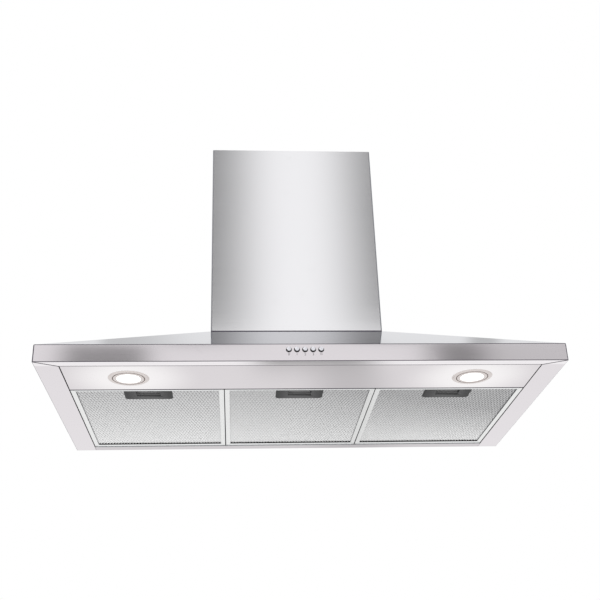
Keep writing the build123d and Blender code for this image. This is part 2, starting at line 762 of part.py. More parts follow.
def blade_outline(turn):
    """One forward-curved blade seen along the axis, turned by an angle and folded twice."""
    hollow_side = []
    for n in range(BLADE_FOLDS + 1):
        share = n / BLADE_FOLDS
        hollow_side.append((blade_root + share * BLADE_DEPTH, turn + BLADE_SWEEP * share**2))
    full_side = [(radius, angle + BLADE_THICKNESS_ANGLE) for radius, angle in hollow_side]
    corners = hollow_side + full_side[::-1]
    points = [polar(radius, angle) for radius, angle in corners]
    return blower_plane * make_face(Polyline(*points, close=True))


def drum_plate(radius, x):
    """A flat plate of the impeller, its rim pressed straight between neighbouring folds."""
    return along_axis(blower_plane * RegularPolygon(radius, 2 * BLADE_COUNT), x)


def impeller():
    """Drum impeller fed from both sides: centre disc, curved blades and two end rings."""
    inner = blade_root + IMPELLER_LIP
    span = (-BLADE_HALF_LENGTH, BLADE_HALF_LENGTH)
    hub_x = (hub_start, hub_start + HUB_LENGTH)
    drum = drum_plate(inner, (-IMPELLER_DISC / 2, IMPELLER_DISC / 2))
    drum += crossbar(HUB_RADIUS, hub_x, axis_y, axis_z)
    pitch = 360 / BLADE_COUNT
    drum += [along_axis(blade_outline(n * pitch), span) for n in range(BLADE_COUNT)]
    depth = IMPELLER_RING_DEPTH
    for x in ((span[0] - depth, span[0]), (span[1], span[1] + depth)):
        drum += drum_plate(IMPELLER_RADIUS + IMPELLER_LIP, x) - drum_plate(inner, x)
    return drum - crossbar(SHAFT_RADIUS, hub_x, axis_y, axis_z)


pin_z = box_top + FLAP_PIN_HEIGHT
collar_bore = COLLAR_RADIUS - COLLAR_WALL
pin_half_length = COLLAR_RADIUS - COLLAR_WALL / 2


def outlet_collar():
    """Moulded duct collar that snaps into the motor box, with pockets for the flap pin."""
    at = (0, collar_y)
    collar = upright(COLLAR_RADIUS, (box_top, box_top + COLLAR_HEIGHT), at)
    collar -= upright(collar_bore, (box_top, box_top + COLLAR_HEIGHT), at)
    half = FLAP_PIN_RADIUS
    pocket_y = (collar_y - half, collar_y + half)
    return collar - block((-pin_half_length, pin_half_length), pocket_y, (pin_z - half, pin_z + half))


def flap_pin():
    """Steel pin across the collar that both flaps turn on."""
    return crossbar(FLAP_PIN_RADIUS, (-pin_half_length, pin_half_length), collar_y, pin_z)


def flap(side):
    """Half-round non-return flap with its share of the knuckles on the pin."""
    at = (0, collar_y)
    z = (pin_z - FLAP_THICKNESS / 2, pin_z + FLAP_THICKNESS / 2)
    reach = collar_bore - FLAP_EDGE_GAP
    plate = upright(reach, z, at)
    near = collar_y + side * (KNUCKLE_SIDE / sqrt(2) + FLAP_CLEARANCE)
    far = collar_y + side * collar_bore
    plate &= block((-reach, reach), tuple(sorted((near, far))), z)
    total = KNUCKLE_COUNT * KNUCKLE_LENGTH + (KNUCKLE_COUNT - 1) * KNUCKLE_GAP
    for n in range(KNUCKLE_COUNT):
        if n % 2 == (side > 0):
            continue
        left = -total / 2 + n * (KNUCKLE_LENGTH + KNUCKLE_GAP)
        x = (left, left + KNUCKLE_LENGTH)
        knuckle_y = (collar_y - KNUCKLE_SIDE / 2, collar_y + KNUCKLE_SIDE / 2)
        plate += block(x, knuckle_y, (pin_z - KNUCKLE_SIDE / 2, pin_z + KNUCKLE_SIDE / 2))
        plate += block(x, tuple(sorted((collar_y, near))), z)
    bore = FLAP_PIN_RADIUS + FLAP_PIN_CLEARANCE
    return plate - crossbar(bore, (-reach, reach), collar_y, pin_z)


terminal_left = -box_half_width + TERMINAL_BOX_FROM_SIDE
terminal_x = (terminal_left, terminal_left + TERMINAL_BOX_WIDTH)
terminal_front = box_front + TERMINAL_BOX_FROM_FRONT
terminal_y = (terminal_front, terminal_front + TERMINAL_BOX_DEPTH)
terminal_top = box_top + TERMINAL_BOX_HEIGHT
gland_at = (terminal_x[0] + GLAND_INSET, sum(terminal_y) / 2)


def terminal_box():
    """Open plastic tray for the mains terminals."""
    wall = TERMINAL_BOX_WALL
    tray = block(terminal_x, terminal_y, (box_top, terminal_top))
    tray -= block(
        (terminal_x[0] + wall, terminal_x[1] - wall),
        (terminal_y[0] + wall, terminal_y[1] - wall),
        (box_top + wall, terminal_top),
    )
    return tray


def terminal_lid():
    """Flat lid with the cable gland's hole."""
    lid_z = (terminal_top, terminal_top + TERMINAL_LID)
    return block(terminal_x, terminal_y, lid_z) - upright(GLAND_BORE_RADIUS, lid_z, gland_at)


def cable_gland():
    """Gland standing on the lid over its hole: a hexagonal body and a smaller hexagonal cap."""
    base = terminal_top + TERMINAL_LID
    body = Pos(gland_at[0], gland_at[1], base) * RegularPolygon(GLAND_RADIUS, 6)
    gland = extrude(body, GLAND_FLAT_HEIGHT)
    cap = Pos(gland_at[0], gland_at[1], base) * RegularPolygon(GLAND_CAP_RADIUS, 6)
    gland += extrude(cap, GLAND_HEIGHT)
    return gland - upright(GLAND_BORE_RADIUS, (base, base + GLAND_HEIGHT), gland_at)


def capacitor():
    """Motor capacitor in a flat plastic case with a fixing foot, standing on the motor box."""
    start = terminal_x[1] + CAPACITOR_GAP
    x = (start, start + CAPACITOR_LENGTH)
    middle = sum(terminal_y) / 2
    y = (middle - CAPACITOR_WIDTH / 2, middle + CAPACITOR_WIDTH / 2)
    case = block(x, y, (box_top, box_top + CAPACITOR_HEIGHT))
    foot_x = (x[1], x[1] + CAPACITOR_FOOT)
    return case + block(foot_x, y, (box_top, box_top + CAPACITOR_FOOT_SHEET))


def cover_outline(half, depth, rear):
    """A chimney cover seen from above: three sides, two front bends and rear returns."""
    wall = CHIMNEY_SHEET
    outer = Pos(0, -(depth + rear) / 2) * Rectangle(2 * half, depth - rear)
    outer = fillet(outer.vertices().group_by(Axis.Y)[0], CORNER_BEND)
    inner = Pos(0, -(depth + rear) / 2) * Rectangle(2 * (half - wall), depth - rear - 2 * wall)
    inner = fillet(inner.vertices().group_by(Axis.Y)[0], CORNER_BEND - wall)
    gap = Pos(0, -rear - wall / 2) * Rectangle(2 * (half - CHIMNEY_RETURN), 2 * wall)
    return outer - inner - gap


def lower_chimney():
    """Fixed chimney cover standing on the canopy's top plate."""
    outline = cover_outline(chimney_half_width, chimney_depth, 0)
    return Pos(0, 0, CANOPY_HEIGHT) * extrude(outline, CHIMNEY_HEIGHT)


slide_step = CHIMNEY_SHEET + TELESCOPE_GAP
upper_half = chimney_half_width - slide_step
upper_base = CANOPY_HEIGHT + TELESCOPE_GAP
upper_top = chimney_top - UPPER_CHIMNEY_RECESS


def upper_chimney():
    """Inner telescoping cover, with vent slots near its top for use without a duct."""
    outline = cover_outline(upper_half, chimney_depth - slide_step, slide_step)
    cover = Pos(0, 0, upper_base) * extrude(outline, upper_top - upper_base)
    middle = -chimney_depth / 2
    for n in range(VENT_COUNT):
        z = upper_top - VENT_TOP_MARGIN - n * VENT_PITCH
        cover -= block(
            (-upper_half - CHIMNEY_SHEET, upper_half + CHIMNEY_SHEET),
            (middle - VENT_LENGTH / 2, middle + VENT_LENGTH / 2),
            (z - VENT_WIDTH / 2, z + VENT_WIDTH / 2),
        )
    return cover


def chimney_bracket():
    """Wall bracket of the upper cover, held between the cover's sides."""
    sheet = CHIMNEY_BRACKET_SHEET
    half = upper_half - CHIMNEY_SHEET
    rear = -slide_step - CHIMNEY_SHEET
    top = upper_top - CHIMNEY_BRACKET_DROP
    z = (top - CHIMNEY_BRACKET_HEIGHT, top)
    bracket = block((-half, half), (rear - sheet, rear), z)
    ear = block((half - sheet, half), (rear - CHIMNEY_BRACKET_EAR, rear - sheet), z)
    bracket = bracket + ear + mirrored(ear)
    for side in (-1, 1):
        x = side * CHIMNEY_BRACKET_HOLE_SPACING / 2
        bracket -= lengthways(
            CHIMNEY_BRACKET_HOLE_RADIUS, x, (rear - 2 * sheet, rear + sheet), sum(z) / 2
        )
    return bracket


os.makedirs("parts", exist_ok=True)

save("canopy_shell", canopy_shell())
save("back_panel", back_panel())
save("light_panel", light_panel())
save("lower_chimney", lower_chimney())
save("upper_chimney", upper_chimney())
save("chimney_bracket", chimney_bracket())

save("lamp_rings", [lamp_ring(at) for at in lamp_places])
save("lamp_lenses", [lamp_lens(at) for at in lamp_places])
save("lamp_bodies", [lamp_body(at) for at in lamp_places])
save("lamp_clips", [lamp_clip(at, side) for at in lamp_places for side in (-1, 1)])
save("lamp_driver", lamp_driver())

for name, centre in zip(("left", "middle", "right"), filter_centres()):
    save(f"filter_frame_{name}", filter_frame(centre))
    save(f"filter_mesh_{name}", filter_mesh(centre))
    save(f"latch_plate_{name}", latch_plate(centre))
    save(f"latch_slider_{name}", latch_slider(centre))

for name, x in zip(("off", "speed_1", "speed_2", "speed_3", "lamp"), button_places):
    save(f"button_{name}", button(x))
save("switch_block", switch_block())
save("switch_bracket", switch_bracket())

save("motor_box", motor_box())
save("foot_bolts", foot_bolts())
save("volute_left", volute_half(-1))
save("volute_right", volute_half(1))
save("motor_bracket", motor_bracket())
save("motor_case", motor_case())
save("motor_bearings", motor_bearings())
save("fan_shaft", fan_shaft())
save("impeller", impeller())

save("outlet_collar", outlet_collar())
save("flap_pin", flap_pin())
save("flap_front", flap(-1))
save("flap_rear", flap(1))

save("terminal_box", terminal_box())
save("terminal_lid", terminal_lid())
save("cable_gland", cable_gland())
save("capacitor", capacitor())
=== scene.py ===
from math import atan2, cos, pi, radians, sin

import bmesh
import bpy
from mathutils import Matrix, Vector


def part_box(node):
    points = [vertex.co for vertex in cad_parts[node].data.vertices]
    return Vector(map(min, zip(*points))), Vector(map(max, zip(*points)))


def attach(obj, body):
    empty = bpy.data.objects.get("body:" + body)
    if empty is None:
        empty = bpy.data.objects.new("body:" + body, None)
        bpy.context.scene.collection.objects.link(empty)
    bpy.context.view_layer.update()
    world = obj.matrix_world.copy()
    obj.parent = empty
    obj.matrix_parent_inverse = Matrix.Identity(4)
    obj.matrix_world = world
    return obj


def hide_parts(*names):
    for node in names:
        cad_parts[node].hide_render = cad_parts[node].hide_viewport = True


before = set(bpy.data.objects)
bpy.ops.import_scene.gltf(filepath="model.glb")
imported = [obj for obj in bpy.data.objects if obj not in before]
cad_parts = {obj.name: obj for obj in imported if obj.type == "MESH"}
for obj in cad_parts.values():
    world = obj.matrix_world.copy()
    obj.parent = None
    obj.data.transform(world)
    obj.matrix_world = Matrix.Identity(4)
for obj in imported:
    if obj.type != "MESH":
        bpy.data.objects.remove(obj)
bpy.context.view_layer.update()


# The camera is in front of the hood, lower than it and a little left of its middle,
# and looks up at its underside, as the photograph does.
HEADING, CLIMB, TILT = radians(4.38), radians(25.59), radians(-1.85)

camera_data = bpy.data.cameras.new("camera")
camera_data.lens = 56.67
camera = bpy.data.objects.new("camera", camera_data)
bpy.context.collection.objects.link(camera)
bpy.context.scene.camera = camera
forward = Vector((sin(HEADING) * cos(CLIMB), cos(HEADING) * cos(CLIMB), sin(CLIMB)))
level = Vector((cos(HEADING), -sin(HEADING), 0))
upward = level.cross(forward)
aside = level * cos(TILT) + upward * sin(TILT)
overhead = upward * cos(TILT) - level * sin(TILT)
turned = Matrix((aside, overhead, -forward)).transposed().to_4x4()
camera.matrix_world = Matrix.Translation((-0.1178, -1.9618, -0.5893)) @ turned


# Canopy: one skin of satin stainless sheet, folded into a pyramid with a narrow upright
# front, an in-turned lip and side strips. Its folds are small rounds, painted dark: painted
# shade and dark reflection.
MM = 0.001
TOUCH = 0.05 * MM


class Wire:
    """One output socket of a node tree; Python's operators on it add Math nodes."""

    def __init__(self, tree, socket=None):
        self.tree = tree
        self.socket = socket

    def node(self, kind, settings=None, sockets=None, output=0):
        """Add a node: its settings first, then the values or links of its sockets."""
        made = self.tree.nodes.new(kind)
        for name, value in (settings or {}).items():
            setattr(made, name, value)
        for name, value in (sockets or {}).items():
            if isinstance(value, Wire):
                self.tree.links.new(value.socket, made.inputs[name])
            else:
                made.inputs[name].default_value = value
        return Wire(self.tree, made.outputs[output])

    def output(self, name):
        """Another output of the same node, by its name or number."""
        return Wire(self.tree, self.socket.node.outputs[name])

    def math(self, operation, *values):
        """A Math node on these values."""
        return self.node("ShaderNodeMath", {"operation": operation}, dict(enumerate(values)))

    def __add__(self, other):
        return self.math("ADD", self, other)

    def __sub__(self, other):
        return self.math("SUBTRACT", self, other)

    def __abs__(self):
        return self.math("ABSOLUTE", self)

    def __rsub__(self, other):
        return self.math("SUBTRACT", other, self)

    def __mul__(self, other):
        return self.math("MULTIPLY", self, other)

    __radd__ = __add__
    __rmul__ = __mul__

    def split(self):
        """The X, Y and Z of this vector."""
        first = self.node("ShaderNodeSeparateXYZ", sockets={"Vector": self})
        return [first.output(count) for count in range(3)]

    def blend(self, low, high):
        """A colour between low and high, by this value; each is a colour or a wire."""
        low, high = (end if isinstance(end, Wire) else (*end, 1.0) for end in (low, high))
        return self.node(
            "ShaderNodeMix", {"data_type": "RGBA"}, {"Factor": self, 6: low, 7: high}, output=2
        )

    def step(self, low, high, kind="SMOOTHSTEP"):
        """This value brought from 0 to 1 between low and high, eased unless kind is LINEAR."""
        return self.node(
            "ShaderNodeMapRange",
            {"interpolation_type": kind},
            {"Value": self, "From Min": low, "From Max": high},
        )


def shader_of(material):
    """A material's main shader node."""
    return material.node_tree.nodes["Principled BSDF"]


def finish(name, metallic=0.0, roughness=0.4):
    """A new material; returns it, its shader node and a wire to its object coordinates."""
    material = bpy.data.materials.new(name)
    material.use_nodes = True
    shader = shader_of(material)
    shader.inputs["Metallic"].default_value = metallic
    shader.inputs["Roughness"].default_value = roughness
    place = Wire(material.node_tree).node("ShaderNodeTexCoord", output=3)
    return material, shader, place


def feed(shader, socket, wire):
    """Link a wire to one of a shader's sockets."""
    wire.tree.links.new(wire.socket, shader.inputs[socket])


def noise(place, stretch, detail=3.0, shift=(0, 0, 0)):
    """Noise over object coordinates; stretch is its repeats per metre, or one for each axis."""
    if isinstance(stretch, float):
        stretch = (stretch, stretch, stretch)
    spot = place.node(
        "ShaderNodeMapping", sockets={"Vector": place, "Scale": stretch, "Location": shift}
    )
    return place.node("ShaderNodeTexNoise", {}, {"Vector": spot, "Detail": detail, "Scale": 1.0})


def bump(shader, height, distance, strength):
    """Feed a height in metres to the shader's normal."""
    made = height.node(
        "ShaderNodeBump", {}, {"Height": height, "Distance": distance, "Strength": strength}
    )
    feed(shader, "Normal", made)


def grained(name, low, high, stretch, metallic=0.0, rough=(0.4, 0.0), relief=None):
    """A finish whose colour runs from low to high with one noise. Its roughness starts at the
    first of rough and rises by the second; relief is the bump's depth and strength."""
    material, shader, place = finish(name, metallic, rough[0])
    grains = noise(place, stretch)
    feed(shader, "Base Color", grains.blend(low, high))
    if rough[1]:
        feed(shader, "Roughness", grains * rough[1] + rough[0])
    if relief:
        bump(shader, grains, *relief)
    return material


def shades(tone, darker, lighter):
    """A tone made darker and lighter by these factors."""
    return [tuple(min(value * factor, 1.0) for value in tone) for factor in (darker, lighter)]


def brushed_steel(name, tone, roughness, worn=0.03):
    """Satin sheet: fine lines along X, faint clouds of sheen, a few handling marks."""
    material, shader, place = finish(name, metallic=1.0, roughness=roughness)
    lines = noise(place, (8.0, 900.0, 900.0), 4.0)
    clouds = noise(place, 5.0, 2.0)
    marks = noise(place, 38.0, 5.0, (3.1, 0.4, 1.7)).step(0.62, 0.75)
    feed(shader, "Base Color", (clouds * 0.6 + lines * 0.4).blend(*shades(tone, 0.96, 1.04)))
    feed(shader, "Roughness", lines * 0.03 + clouds * 0.03 + marks * worn + (roughness - 0.03))
    bump(shader, lines, 0.00001, 0.1)
    return material


canopy_steel = brushed_steel("canopy_steel", (0.72, 0.685, 0.71), 0.08)
slope_steel = brushed_steel("slope_steel", (0.65, 0.655, 0.67), 0.08)
shader_of(slope_steel).inputs["Specular Tint"].default_value = (0.87, 0.87, 0.885, 1.0)
inner_steel = brushed_steel("inner_steel", (0.58, 0.58, 0.59), 0.34, worn=0.10)
# The rear strip's steel is painted darker than the canopy's, as painted shade.
strip_steel = brushed_steel("strip_steel", (0.54, 0.51, 0.53), 0.10)
# The lip's steel is painted lighter than the canopy's, as a painted reflection.
lip_steel = brushed_steel("lip_steel", (0.85, 0.82, 0.84), 0.08)


def paint_dark_reflection(material, tone, amount, rising, falling):
    """A darker tone painted between two spans of X in metres: a painted reflection of the room's
    dark flags.
    """
    shader = shader_of(material)
    plain_tone = Wire(material.node_tree, shader.inputs["Base Color"].links[0].from_socket)
    across = plain_tone.node("ShaderNodeTexCoord", output=3).split()[0]
    reflected_dark = across.step(*rising) * (1.0 - across.step(*falling)) * amount
    feed(shader, "Base Color", reflected_dark.blend(plain_tone, tone))


# The lip and the slopes are painted darker across the middle: a painted reflection.
paint_dark_reflection(lip_steel, (0.45, 0.43, 0.44), 0.45, (-0.095, -0.035), (0.05, 0.19))
paint_dark_reflection(slope_steel, (0.38, 0.385, 0.40), 0.68, (-0.16, 0.04), (0.10, 0.17))


def painted_shade_finish(name, tone):
    """Painted shade for tight bends, gaps and hems: a dark non-metal finish much darker than
    the sheet beside it, standing for their shade and dark reflection.
    """
    material = grained(name, *shades(tone, 0.8, 1.2), (30.0, 300.0, 300.0), rough=(0.5, 0.2))
    shader_of(material).inputs["Specular IOR Level"].default_value = 0.25
    return material


painted_shade_dark = painted_shade_finish("painted_shade_dark", (0.060, 0.050, 0.072))
painted_shade_grey = painted_shade_finish("painted_shade_grey", (0.24, 0.24, 0.26))


def drop_all():
    """Leave edit mode and deselect everything."""
    if bpy.context.mode != "OBJECT":
        bpy.ops.object.mode_set(mode="OBJECT")
    bpy.ops.object.select_all(action="DESELECT")


def pick(piece):
    """Make a piece the one selected and active object."""
    drop_all()
    piece.select_set(True)
    bpy.context.view_layer.objects.active = piece


def edit_all():
    """Enter edit mode on the active object, with all of it selected."""
    bpy.ops.object.mode_set(mode="EDIT")
    bpy.ops.mesh.select_all(action="SELECT")


def choose(kind, wanted):
    """In edit mode, select only the vertices, edges or faces that wanted accepts."""
    bpy.ops.mesh.select_mode(type=kind)
    bpy.ops.mesh.select_all(action="DESELECT")
    mesh = bpy.context.active_object.data
    form = bmesh.from_edit_mesh(mesh)
    parts = {"VERT": form.verts, "EDGE": form.edges, "FACE": form.faces}[kind]
    for part in [part for part in parts if wanted(part)]:
        part.select_set(True)
    form.select_flush_mode()
    bmesh.update_edit_mesh(mesh)


def paint(material, wanted=None):
    """In edit mode, give a material to the selected faces, or to those that wanted accepts."""
    if wanted:
        choose("FACE", wanted)
    piece = bpy.context.active_object
    if material.name not in piece.data.materials:
        piece.data.materials.append(material)
    piece.active_material_index = piece.data.materials.find(material.name)
    bpy.ops.object.material_slot_assign()


def round_edges(offset, segments, wanted):
    """In edit mode, round the edges that wanted accepts; their new faces stay selected."""
    choose("EDGE", wanted)
    bpy.ops.mesh.bevel(offset=offset, segments=segments, affect="EDGES")


def mid(face):
    """The middle of a face."""
    return face.calc_center_median()


def near(here, there, gap=TOUCH):
    """True where two measures differ by less than gap."""
    return abs(here - there) < gap


def sharp(edge, degrees):
    """True on an edge whose two faces turn by more than this many degrees."""
    return len(edge.link_faces) == 2 and edge.calc_face_angle() > radians(degrees)


def merged_copy(node, name):
    """A copy of a CAD node, its loose triangles joined into whole faces, in edit mode."""
    piece = bpy.data.objects.new(name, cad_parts[node].data.copy())
    bpy.context.collection.objects.link(piece)
    piece.data.materials.clear()
    pick(piece)
    bpy.ops.mesh.customdata_custom_splitnormals_clear()
    edit_all()
    bpy.ops.mesh.remove_doubles(threshold=0.000005)
    bpy.ops.mesh.dissolve_limited(angle_limit=radians(0.2))
    return piece


def keep(piece, body, slot, *nodes):
    """Leave edit mode, shade the piece, hang it on its body, and hide the CAD nodes it stands
    for.
    """
    pick(piece)
    bpy.ops.object.shade_smooth_by_angle(angle=radians(35))
    flats = piece.modifiers.new("flats", "WEIGHTED_NORMAL")
    flats.keep_sharp = True
    bpy.ops.object.modifier_apply(modifier=flats.name)
    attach(piece, body)
    if nodes:
        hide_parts(*nodes)


canopy_low, canopy_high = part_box("canopy_shell")
FOLD_ROUND = 0.95 * MM
FOLD_REACH = 3.0 * MM                   # the front's folds lie within this of its face
FRONT_TOP = 32.2 * MM                   # just over the fold between the front and the slope
FRONT_FOLD, SIDE_FOLD, HIP_FOLD = 0.0015, 0.0009, 0.0005    # a fold's faces are smaller, m2
LIP, STRIP = 20.0 * MM, 40.0 * MM
LIP_EDGE, SLIT_EDGE = 1.3 * MM, 1.5 * MM
OFF_MIDDLE = 200.0 * MM                 # the lip's one long face has its middle within this

canopy = merged_copy("canopy_shell", "canopy_skin")
paint(inner_steel)
skin = bmesh.from_edit_mesh(canopy.data)
spots = [vert.co.copy() for vert in skin.verts]
outside = set()
for face in skin.faces:
    reach = max((spot - face.verts[0].co).dot(face.normal) for spot in spots)
    if reach < 0.02 * MM and face.normal.y < 0.9:
        outside.add(face.index)
paint(canopy_steel, lambda face: face.index in outside)
paint(slope_steel, lambda face: face.index in outside and 0.3 < face.normal.z < 0.99)
round_edges(
    FOLD_ROUND,
    3,
    lambda edge: sharp(edge, 20) and all(face.index in outside for face in edge.link_faces),
)
# Painted shade: the front's fold rounds, the side folds and the hips are painted dark for their
# shade and dark reflection.
paint(
    painted_shade_dark,
    lambda face: mid(face).z < canopy_low.z + FRONT_TOP
    and mid(face).y < canopy_low.y + FOLD_REACH
    and face.calc_area() < FRONT_FOLD
    and face.normal.y > -0.995
    and face.normal.z > -0.995,
)
paint(
    painted_shade_grey,
    lambda face: mid(face).y > canopy_low.y + FOLD_REACH
    and near(abs(mid(face).x), canopy_high.x, 1.0 * MM)
    and face.calc_area() < SIDE_FOLD
    and abs(face.normal.x) < 0.995,
)
paint(
    painted_shade_grey,
    lambda face: mid(face).z > canopy_low.z + FRONT_TOP + 0.3 * MM
    and face.calc_area() < HIP_FOLD
    and 0.3 < face.normal.z < 0.97
    and abs(face.normal.x) > 0.02,
)


def on_underside(face):
    """True on the flat underside of the lip and the side strips."""
    return face.normal.z < -0.999 and mid(face).z < 0.1 * MM


def on_lip(face):
    """True on the part of the underside that is level with the lip, in front of the panel."""
    return on_underside(face) and mid(face).y < canopy_low.y + LIP


# The slits between lip and strips, and the lip's rear edge, are cut as narrow bands, painted
# dark as the shade of their gaps
across_slit = Vector((LIP, STRIP)).length / LIP * SLIT_EDGE
for hand in (-1, 1):
    for edge_x in (-across_slit, across_slit):
        choose("FACE", on_underside)
        bpy.ops.mesh.bisect(
            plane_co=(hand * (canopy_high.x - edge_x), canopy_low.y, 0),
            plane_no=Vector((hand * LIP, STRIP, 0)).normalized(),
        )
choose("FACE", on_underside)
bpy.ops.mesh.bisect(plane_co=(0, canopy_low.y + LIP - LIP_EDGE, 0), plane_no=(0, 1, 0))
paint(lip_steel, on_lip)
paint(
    painted_shade_dark,
    lambda face: on_lip(face)
    and mid(face).y > canopy_low.y + LIP - LIP_EDGE
    and abs(mid(face).x) < OFF_MIDDLE,
)
paint(
    painted_shade_dark,
    lambda face: on_lip(face)
    and near(
        canopy_high.x - abs(mid(face).x), (mid(face).y - canopy_low.y) * STRIP / LIP, across_slit
    ),
)
keep(canopy, "canopy", "steel_skin", "canopy_shell")


# Light panel: the front part of the underside, a separate tray of the same sheet with two
# lamp holes. Its edges turn up round a small bend, painted with dark shade so they read as dark
# lines.
PANEL_FOLD, PANEL_END_FOLD = 2.5 * MM, 0.7 * MM
PANEL_EDGE_LEAST = 20.0 * MM
LAMP_X, LAMP_Y = 300.0 * MM, -423.0 * MM
GLOW_NEAR, GLOW_FAR = 35.0 * MM, 130.0 * MM

panel_low, panel_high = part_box("light_panel")
panel_steel, panel_shader, panel_place = finish("panel_steel", metallic=1.0, roughness=0.09)
# The panel is painted lighter round each lamp: a painted pool of the lamps' light.
across, along = panel_place.split()[:2]
beside, before = abs(across) - LAMP_X, along - LAMP_Y
from_lamp = before.math("SQRT", beside * beside + before * before)
glow = 1.0 - from_lamp.step(GLOW_NEAR, GLOW_FAR)
feed(panel_shader, "Base Color", glow.blend((0.67, 0.635, 0.655), (0.90, 0.875, 0.88)))
sheen = noise(panel_place, (6.0, 600.0, 600.0))
feed(panel_shader, "Roughness", sheen * 0.03 + 0.075)
bump(panel_shader, sheen, 0.00001, 0.1)


def ends(edge, wanted):
    """True where wanted accepts the places of both ends of an edge."""
    return all(wanted(vert.co) for vert in edge.verts)


panel = merged_copy("light_panel", "lamp_panel")
paint(panel_steel)
for offset, segments, on_side in (
    (PANEL_FOLD, 3, lambda spot: near(spot.y, panel_low.y)),
    (PANEL_END_FOLD, 1, lambda spot: near(abs(spot.x), panel_high.x)),
):
    round_edges(
        offset,
        segments,
        lambda edge: ends(edge, lambda spot: near(spot.z, panel_low.z) and on_side(spot))
        and edge.calc_length() > PANEL_EDGE_LEAST,
    )
    paint(painted_shade_dark)
keep(panel, "canopy", "steel_skin", "light_panel")


# Back panel, bracket and the chimney's two covers: folded sheet. The covers are satin
# steel with the grain across; what stands on the wall is plain galvanised sheet.
COVER_SHADE_BAND = 3.0 * MM
COVER_CORNER = 3.0 * MM
BACK_FOOT = 2.5 * MM

# Zinc-coated sheet with its faint flowers of spangle
zinc_sheet, zinc_shader, zinc_place = finish("zinc_sheet", metallic=1.0, roughness=0.45)
spangle = zinc_place.node(
    "ShaderNodeTexVoronoi", sockets={"Vector": zinc_place, "Scale": 70.0}, output=1
)
flowers = spangle.node("ShaderNodeSeparateColor", sockets={"Color": spangle})
clouds = noise(zinc_place, 12.0)
zinc_tones = shades((0.50, 0.52, 0.54), 0.86, 1.12)
feed(zinc_shader, "Base Color", (flowers * 0.55 + clouds * 0.45).blend(*zinc_tones))
feed(zinc_shader, "Roughness", flowers * 0.16 + clouds * 0.10 + 0.33)
bump(zinc_shader, clouds, 0.0001, 0.2)
chimney_steel = brushed_steel("chimney_steel", (0.89, 0.885, 0.905), 0.10)


def dress(material, *nodes):
    """Give carried-over CAD nodes a finish."""
    for node in nodes:
        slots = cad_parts[node].data.materials
        slots.clear()
        slots.append(material)


def outward(face, hub):
    """How far a chimney wall faces away from the cover's middle."""
    return (mid(face) - hub).xy.dot(face.normal.xy)


back = merged_copy("back_panel", "back_sheet")
paint(zinc_sheet)
# The foot's underside is painted with the darker strip steel: painted shade.
paint(strip_steel, lambda face: face.normal.z < -0.9 and mid(face).z < BACK_FOOT)
keep(back, "canopy", "galvanised", "back_panel")

for node, body in (("lower_chimney", "canopy"), ("upper_chimney", "upper_chimney")):
    cover_low, cover_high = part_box(node)
    hub = (cover_low + cover_high) / 2
    cover = merged_copy(node, f"{node}_cover")
    paint(chimney_steel)
    paint(inner_steel, lambda face: outward(face, hub) < 0)
    # The corner bends are painted grey as their dark reflection.
    paint(
        painted_shade_grey,
        lambda face: face.normal.y < -0.05
        and abs(face.normal.x) > 0.05
        and abs(mid(face).x) > cover_high.x - COVER_CORNER
        and outward(face, hub) > 0,
    )
    # A band at the foot is painted dark: painted shade where the cover meets the canopy.
    bpy.ops.mesh.select_all(action="SELECT")
    bpy.ops.mesh.bisect(plane_co=(0, 0, cover_low.z + COVER_SHADE_BAND), plane_no=(0, 0, 1))
    paint(
        painted_shade_dark,
        lambda face: mid(face).z < cover_low.z + COVER_SHADE_BAND and outward(face, hub) > 0.01,
    )
    keep(cover, body, "steel_skin", node)

dress(zinc_sheet, "chimney_bracket")


# Lamps: a pressed satin-chrome ring with a rolled outer edge and a groove, round a frosted
# lens that is lit. Each heat sink behind it is held down by two spring leaves.
AXES = {"Y": Vector((0, 1, 0)), "Z": Vector((0, 0, 1))}


def lathe(name, profile, centre, axis="Z", steps=64):
    """A profile of (radius, place along the axis) spun about the axis through centre."""
    spots = [
        Vector(centre) + Vector((radius, 0, 0)) + AXES[axis] * height
        for radius, height in profile
    ]
    drop_all()
    bpy.ops.mesh.primitive_plane_add(size=1.0 * MM, location=spots[0])
    piece = bpy.context.active_object
    piece.name = piece.data.name = name
    bpy.ops.object.transform_apply(location=True, rotation=False, scale=False)
    bpy.ops.object.mode_set(mode="EDIT")
    bpy.ops.mesh.select_mode(type="VERT")
    bpy.ops.mesh.select_all(action="SELECT")
    bpy.ops.mesh.merge(type="CENTER")
    for here, there in zip(spots, spots[1:]):
        bpy.ops.mesh.extrude_region_move(TRANSFORM_OT_translate={"value": there - here})
    bpy.ops.mesh.select_all(action="SELECT")
    bpy.ops.mesh.spin(steps=steps, angle=2 * pi, center=centre, axis=AXES[axis])
    bpy.ops.mesh.select_all(action="SELECT")
    bpy.ops.mesh.remove_doubles(threshold=0.000002)
    bpy.ops.mesh.normals_make_consistent(inside=False)
    return piece


def twin(piece, name, shift):
    """A copy of a piece, with its own mesh, moved by shift."""
    drop_all()
    other = piece.copy()
    other.data = piece.data.copy()
    other.name = other.data.name = name
    bpy.context.collection.objects.link(other)
    pick(other)
    edit_all()
    bpy.ops.transform.translate(value=shift)
    drop_all()
    return other


def sector(spot, middle, count, axis="Z"):
    """Which of count equal sectors about an axis through middle a spot lies in."""
    offset = spot - middle
    turn = atan2(offset.y if axis == "Z" else offset.z, offset.x) % (2 * pi)
    return int(turn / (2 * pi) * count)


